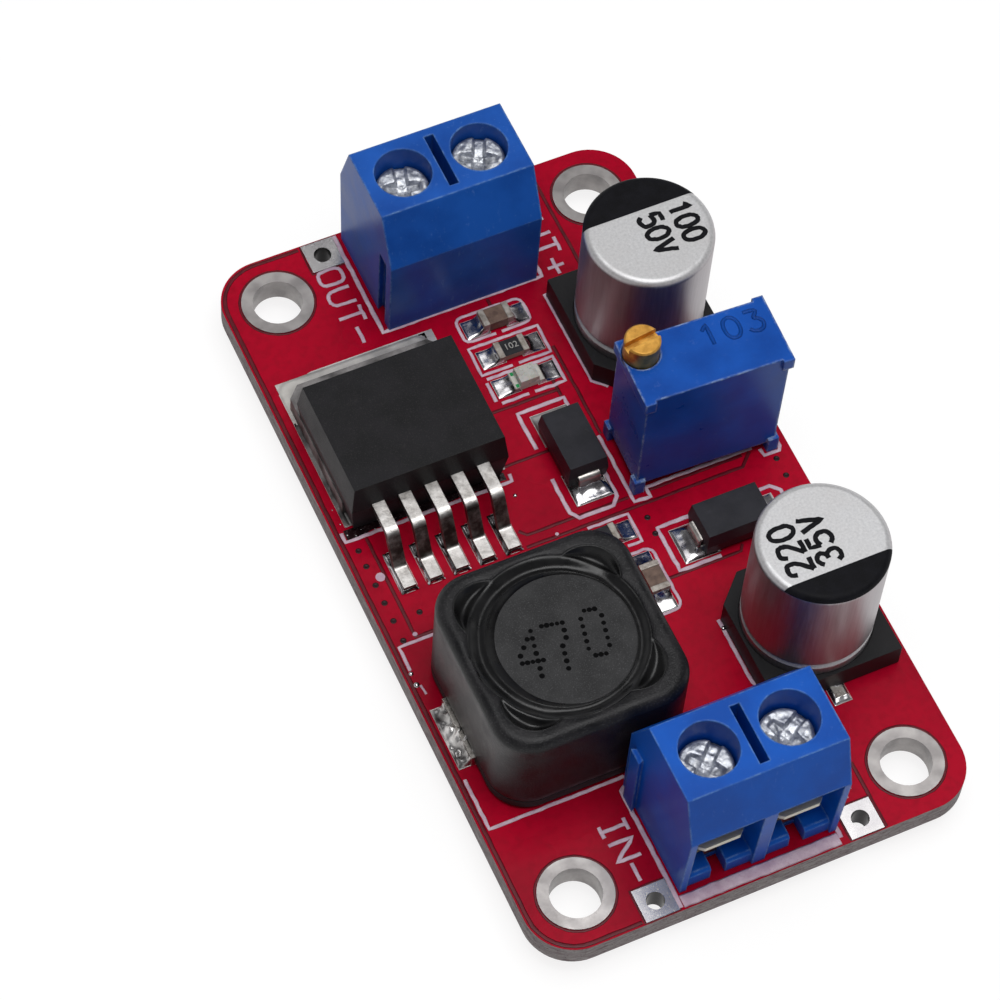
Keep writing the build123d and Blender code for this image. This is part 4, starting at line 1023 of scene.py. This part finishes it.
def pressShield(look, count=320):
    angles = [2 * math.pi * i / count for i in range(count)]

    def ring(reach, height):
        made = []
        for angle in angles:
            radius = reach(angle)
            z = look["top"] + height(angle, radius)
            made.append((radius * math.cos(angle), radius * math.sin(angle), z))
        return made

    core = lambda angle: look["core"]
    bare = lambda angle: bareReach(angle, look)
    rim = lambda angle: rimReach(angle, look)
    wall = lambda angle: shieldReach(angle, look)
    flat = lambda angle: wall(angle) - look["edge"]
    bore = lambda angle: look["bore"]
    between = lambda inner, outer, t: lambda angle: inner(angle) + (outer(angle) - inner(angle)) * t
    surface = lambda angle, radius: shieldHeight(angle, radius, look)
    level = lambda drop: lambda angle, radius: -drop
    # poured resin: a film on the core, the groove and the pockets, on a flat seat
    rings = [ring(bare, level(look["film"] + look["tuck"]))]
    for t in (0, 0.15, 0.35, 0.6, 0.85):
        bead = look["swell"] * math.sin(math.pi * t)
        film = lambda angle, radius, bead=bead: -look["film"] + (look["core"] - bare(angle)) * bead
        rings.append(ring(between(bare, core, t), film))
    shares = [0, 0.04, 0.1] + [0.1 + 0.9 * k / 26 for k in range(1, 27)]
    rings += [ring(between(core, rim, t), surface) for t in shares]
    rings += [ring(rim, level(look["seat"])), ring(core, level(look["seat"]))]
    rings.append(ring(core, level(look["film"] + look["tuck"])))
    addMesh("poured_resin", *ringMesh(rings, look["centre"]), resin, slot="resin")
    # the pressed shield, from the rim out over its rounded edge, down and back under
    rings = [ring(between(rim, flat, k / 12), surface) for k in range(13)]
    rings += [ring(lambda angle, t=t: flat(angle) + look["edge"] * math.sin(t * math.pi / 16), surface)
              for t in range(1, 9)]
    tall = look["top"] - look["foot"]
    rings += [ring(wall, level(drop)) for drop in (*look["wallDrops"], tall - look["footCut"])]
    rings.append(ring(lambda angle: wall(angle) - look["footCut"], level(tall)))
    rings += [ring(bore, level(tall)), ring(bore, level(look["seat"])), ring(rim, level(look["seat"]))]
    shield = addMesh("pressed_shield", *ringMesh(rings, look["centre"]), ferrite, slot="ferrite")
    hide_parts("inductor_shield")


pressShield(shieldLook)


# clamp screws: a struck head with slot and cross, and a threaded shank

screwLook = {
    "radius": 1.63, "edge": 0.2, "thick": 1.0, "chamfer": 0.06, "slot": 0.34, "slotDeep": 0.3, "cross": 0.4,
    "crossDeep": 0.55, "crossTaper": 0.4, "crossRise": 0.75, "crossEnd": 0.25, "reach": 1.25, "blur": 0.16,
    "bruise": 0.05, "bruiseScale": 2.6, "nickScale": 7, "bruiseFade": 0.3, "collar": 0.4, "overlap": 0.1,
    "shank": 1.2, "thread": 0.13, "pitch": 0.5, "point": 0.25}
screwTurns = {"input_negative": 42, "input_positive": 28, "output_negative": 75, "output_positive": 64}
pinpoint = 0.002


def screwHead(top, centre, turn, look):
    # every ring of the head is cut by the slot and the cross, and bruised by the driver
    cutShare = lambda room: steep(room / look["blur"] + 0.5)

    def surface(x, y, radius):
        along = x * math.cos(turn) + y * math.sin(turn)
        across = y * math.cos(turn) - x * math.sin(turn)
        over = max(radius - look["radius"] + look["edge"], 0)
        height = math.sqrt(max(look["edge"] ** 2 - over ** 2, 0)) - look["edge"]
        cuts = [look["slotDeep"] * cutShare(look["slot"] - abs(across))]
        for far, side in ((abs(along), abs(across)), (abs(across), abs(along))):
            out = far / look["reach"]
            wide = look["cross"] * (1 - look["crossTaper"] * out)
            deep = look["crossDeep"] * (1 - look["crossRise"] * out)
            cuts.append(deep * cutShare(wide - side) * steep((look["reach"] - far) / look["crossEnd"]))
        broad, fine = look["bruiseScale"], look["nickScale"]
        bruise = noise.noise(Vector((x * broad, y * broad, centre[0] + centre[1])))
        bruise += 0.4 * noise.noise(Vector((x * fine, y * fine, centre[0])))
        fade = steep((look["radius"] - radius) / look["bruiseFade"])
        return height - max(cuts) + look["bruise"] * bruise * fade

    def ring(radius, drop=None):
        return [(x, y, top + (surface(x, y, radius) if drop is None else -drop))
                for x, y in circle(radius, 112)]

    flat = look["radius"] - look["edge"]
    rings = [ring(pinpoint)] + [ring(flat * k / 24) for k in range(1, 25)]
    rings += [ring(flat + look["edge"] * math.sin(k * math.pi / 8)) for k in (1, 2, 3, 4)]
    rings += [ring(look["radius"], look["collar"]), ring(look["radius"], look["thick"] - look["chamfer"])]
    rings += [ring(look["radius"] - look["chamfer"], look["thick"]), ring(pinpoint, look["thick"])]
    return ringMesh(rings, centre)


def screwShank(bottom, length, centre, look, count=32):
    # the thread is one groove wound down the shank; rings too small to see close both ends
    cap = lambda z: [(pinpoint * math.cos(i), pinpoint * math.sin(i), z) for i in range(count)]
    rings = [cap(bottom + length)]
    rows = round(length / look["pitch"] * 6)
    for j in range(rows + 1):
        drop = length * j / rows
        point = max(0, look["point"] - (length - drop)) * 0.8
        made = []
        for i in range(count):
            angle = 2 * math.pi * i / count
            phase = (drop / look["pitch"] + i / count) % 1
            radius = look["shank"] - look["thread"] * abs(2 * phase - 1) - point
            made.append((radius * math.cos(angle), radius * math.sin(angle), bottom + length - drop))
        rings.append(made)
    return ringMesh(rings + [cap(bottom)], centre)


def addScrew(pole, turn, look):
    # stands where the plain screw stands, and takes its place
    node = f"{pole}_clamp_screw"
    low, high = (Vector(corner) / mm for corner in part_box(node))
    centre = ((low.x + high.x) / 2, (low.y + high.y) / 2)
    head = screwHead(high.z, centre, math.radians(turn), look)
    shank = screwShank(low.z, high.z - look["thick"] + look["overlap"] - low.z, centre, look)
    piece = addMesh(f"{pole}_struck_screw", *joined([head, shank]), zinc, f"{pole}_screw", "zinc_steel")
    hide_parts(node)


for pole, turn in screwTurns.items():
    addScrew(pole, turn, screwLook)
print("shield, resin and clamp screws")


# flux and painted shadow by the regulator, the trimmer's raised code and the indicator's corners

fluxAndShadowLook = {
    "height": 1.605, "thick": 0.02, "left": -13.35, "length": 10.5, "back": 5.2, "overlap": 0.15,
    "reach": 0.45, "leftReach": 0.35, "leftLength": 1.6}


def addFluxAndShadow(look):
    # dark sheet in front of the regulator body, widest at its left end: flux residue, and a painted shadow of
    # the body
    across, along = 90, 18

    def place(i, j):
        x = look["left"] + look["length"] * i / across
        reach = look["reach"] + 0.2 * noise.noise(Vector((x * 0.8, 0, 0)))
        reach += look["leftReach"] * max(0, 1 - (x - look["left"]) / look["leftLength"])
        y = look["back"] - (look["overlap"] + reach) * j / along
        fade = 1 - (j / along) ** 3
        lump = 1 + 0.4 * noise.noise(Vector((x, y, 0)) * 3)
        return x, y, look["height"] + look["thick"] * fade * lump

    addMesh("regulator_flux_and_shadow", *sheet(across, along, place, turned=True), flux)


addFluxAndShadow(fluxAndShadowLook)

trimmerCodeLook = {
    "words": "103", "place": (8.57, 2.85), "inset": 0.2, "advance": 1.45, "size": (0.95, 1.45), "turn": -2.5,
    "width": 0.26, "thick": 0.03, "height": 11.65, "wobble": 0.004, "step": 0.2}


def trimmerCode(look):
    turn = math.radians(look["turn"])
    along = (math.cos(turn), math.sin(turn))
    up = (-math.sin(turn), math.cos(turn))
    lines = []
    for order, sign in enumerate(look["words"]):
        place = Vector(look["place"]) + Vector(along) * (look["inset"] + order * look["advance"])
        lines += lettered(sign, place + Vector(up) * look["inset"], along, up, look["size"])
    penned("trimmer_code", lines, look, codeBlue)


trimmerCode(trimmerCodeLook)

# two green specks on the indicator's strip mark its minus end
cornerLook = {"x": (0.32, 0.52), "y": (10.25, 11.15), "half": 0.12, "height": (2.0, 2.03)}
for index, y in enumerate(cornerLook["y"]):
    left, right = cornerLook["x"]
    low, high = y - cornerLook["half"], y + cornerLook["half"]
    corner = [(left, low), (right, low), (right, high), (left, high)]
    verts = [(px * mm, py * mm, height * mm) for height in cornerLook["height"] for px, py in corner]
    faces = [(0, 1, 2, 3), (4, 5, 6, 7)] + [(i, (i + 1) % 4, (i + 1) % 4 + 4, i + 4) for i in range(4)]
    addMesh(f"polarity_corner_{index + 1}", verts, faces, cornerGreen, smooth=False)
print("flux, trimmer code and corners")


# floor, lamps and camera

stageLook = {"floor": -1.5, "radius": 4.0, "pale": 0.6, "glow": 0.84, "shade": 0.2}


def buildStage(look):
    # the floor looks white to the camera, and lights the part as a duller one
    verts, faces = spun([(look["radius"] * 1000, look["floor"]), (0.01, look["floor"])], (0, 0), 64)
    mesh = bpy.data.meshes.new("floor")
    mesh.from_pydata(verts, [], faces)
    floor = addObject("floor", mesh)
    made, tree, shader, _ = newFinish("pale floor")
    dress(tree, shader, {"Base Color": (look["pale"],) * 3 + (1,), "Roughness": 0.9})
    path = put(tree, "LightPath").outputs
    seen = sums("MAXIMUM", path["Is Camera Ray"], path["Is Glossy Ray"])
    seen = sums("MAXIMUM", seen, path["Is Transmission Ray"])
    glow = put(tree, "Emission", {"Strength": look["glow"]}).outputs[0]
    shade = put(tree, "BsdfDiffuse", {"Color": (look["shade"],) * 3 + (1,)}).outputs[0]
    white = fed("AddShader", {0: glow, 1: shade}).outputs[0]
    both = fed("MixShader", {0: seen, 1: shader.outputs[0], 2: white}).outputs[0]
    give(tree, tree.nodes["Material Output"].inputs[0], both)
    mesh.materials.append(made)


roomLook = {"fill": 0.22, "wall": (1, 1, 1), "eaves": (0.22, 0.22, 0.23), "ceiling": (0.17, 0.17, 0.175),
            "skylight": (0.3, 0.3, 0.31)}


def buildWorld(look):
    world = bpy.data.worlds.new("soft room")
    bpy.context.scene.world = world
    world.use_nodes = True
    tree = world.node_tree
    path = put(tree, "LightPath").outputs
    up = fed("SeparateXYZ", {0: put(tree, "TexCoord").outputs["Generated"]}).outputs[2]
    # a white wall low down, a dim ceiling above
    heights = zip((0.1, 0.45, 0.8, 1.0), (look["wall"], look["eaves"], look["ceiling"], look["skylight"]))
    room = ramp(up, *heights)
    mirrored = sums("MAXIMUM", path["Is Glossy Ray"], path["Is Transmission Ray"])

    def light(colour, strength):
        return put(tree, "Background", {0: colour, 1: strength}).outputs[0]

    def pick(share, first, second):
        return fed("MixShader", {0: share, 1: first, 2: second}).outputs[0]

    around = pick(mirrored, light((1, 1, 1, 1), look["fill"]), light(room, 1.0))
    behind = pick(path["Is Camera Ray"], around, light((1, 1, 1, 1), 1.0))
    give(tree, tree.nodes["World Output"].inputs[0], behind)


lampLook = {
    "key": 0.24, "keySize": 0.15, "keyPlace": (0.0, -0.03, 0.25),
    "sun": 1.0, "sunSpread": 50, "sunTilt": (-4, 4)}


def addLamps(look):
    key = bpy.data.lights.new("overhead softbox", "AREA")
    key.shape = "SQUARE"
    key.size = look["keySize"]
    key.energy = look["key"]
    lamp = addObject("overhead softbox", key)
    lamp.location = look["keyPlace"]
    lamp.rotation_euler = (-Vector(look["keyPlace"])).to_track_quat("-Z", "Y").to_euler()
    sun = bpy.data.lights.new("ceiling light", "SUN")
    sun.energy = look["sun"]
    sun.angle = math.radians(look["sunSpread"])
    ceiling = addObject("ceiling light", sun)
    ceiling.rotation_euler = (*[math.radians(tilt) for tilt in look["sunTilt"]], 0)


# place in mm and three unit directions, fitted to the photo's view
cameraLook = {
    "place": (-61.122, -100.227, 200.551), "lens": 138.87, "sensor": 36, "shift": (-0.00602, -0.0004),
    "right": (0.90858, -0.41504, 0.04710), "up": (0.33543, 0.79217, 0.50985),
    "forward": (0.24892, 0.44744, -0.85897)}


def addCamera(look):
    data = bpy.data.cameras.new("camera")
    data.sensor_width = look["sensor"]
    data.lens = look["lens"]
    data.shift_x, data.shift_y = look["shift"]
    data.clip_start = 0.01
    data.clip_end = 20
    camera = addObject("camera", data)
    turn = Matrix([Vector(look["right"]), Vector(look["up"]), -Vector(look["forward"])]).transposed().to_4x4()
    camera.matrix_world = Matrix.Translation(Vector(look["place"]) * mm) @ turn
    bpy.context.scene.camera = camera


buildStage(stageLook)
buildWorld(roomLook)
addLamps(lampLook)
addCamera(cameraLook)
bpy.context.scene.view_settings.view_transform = "Standard"
print("stage, lamps and camera")
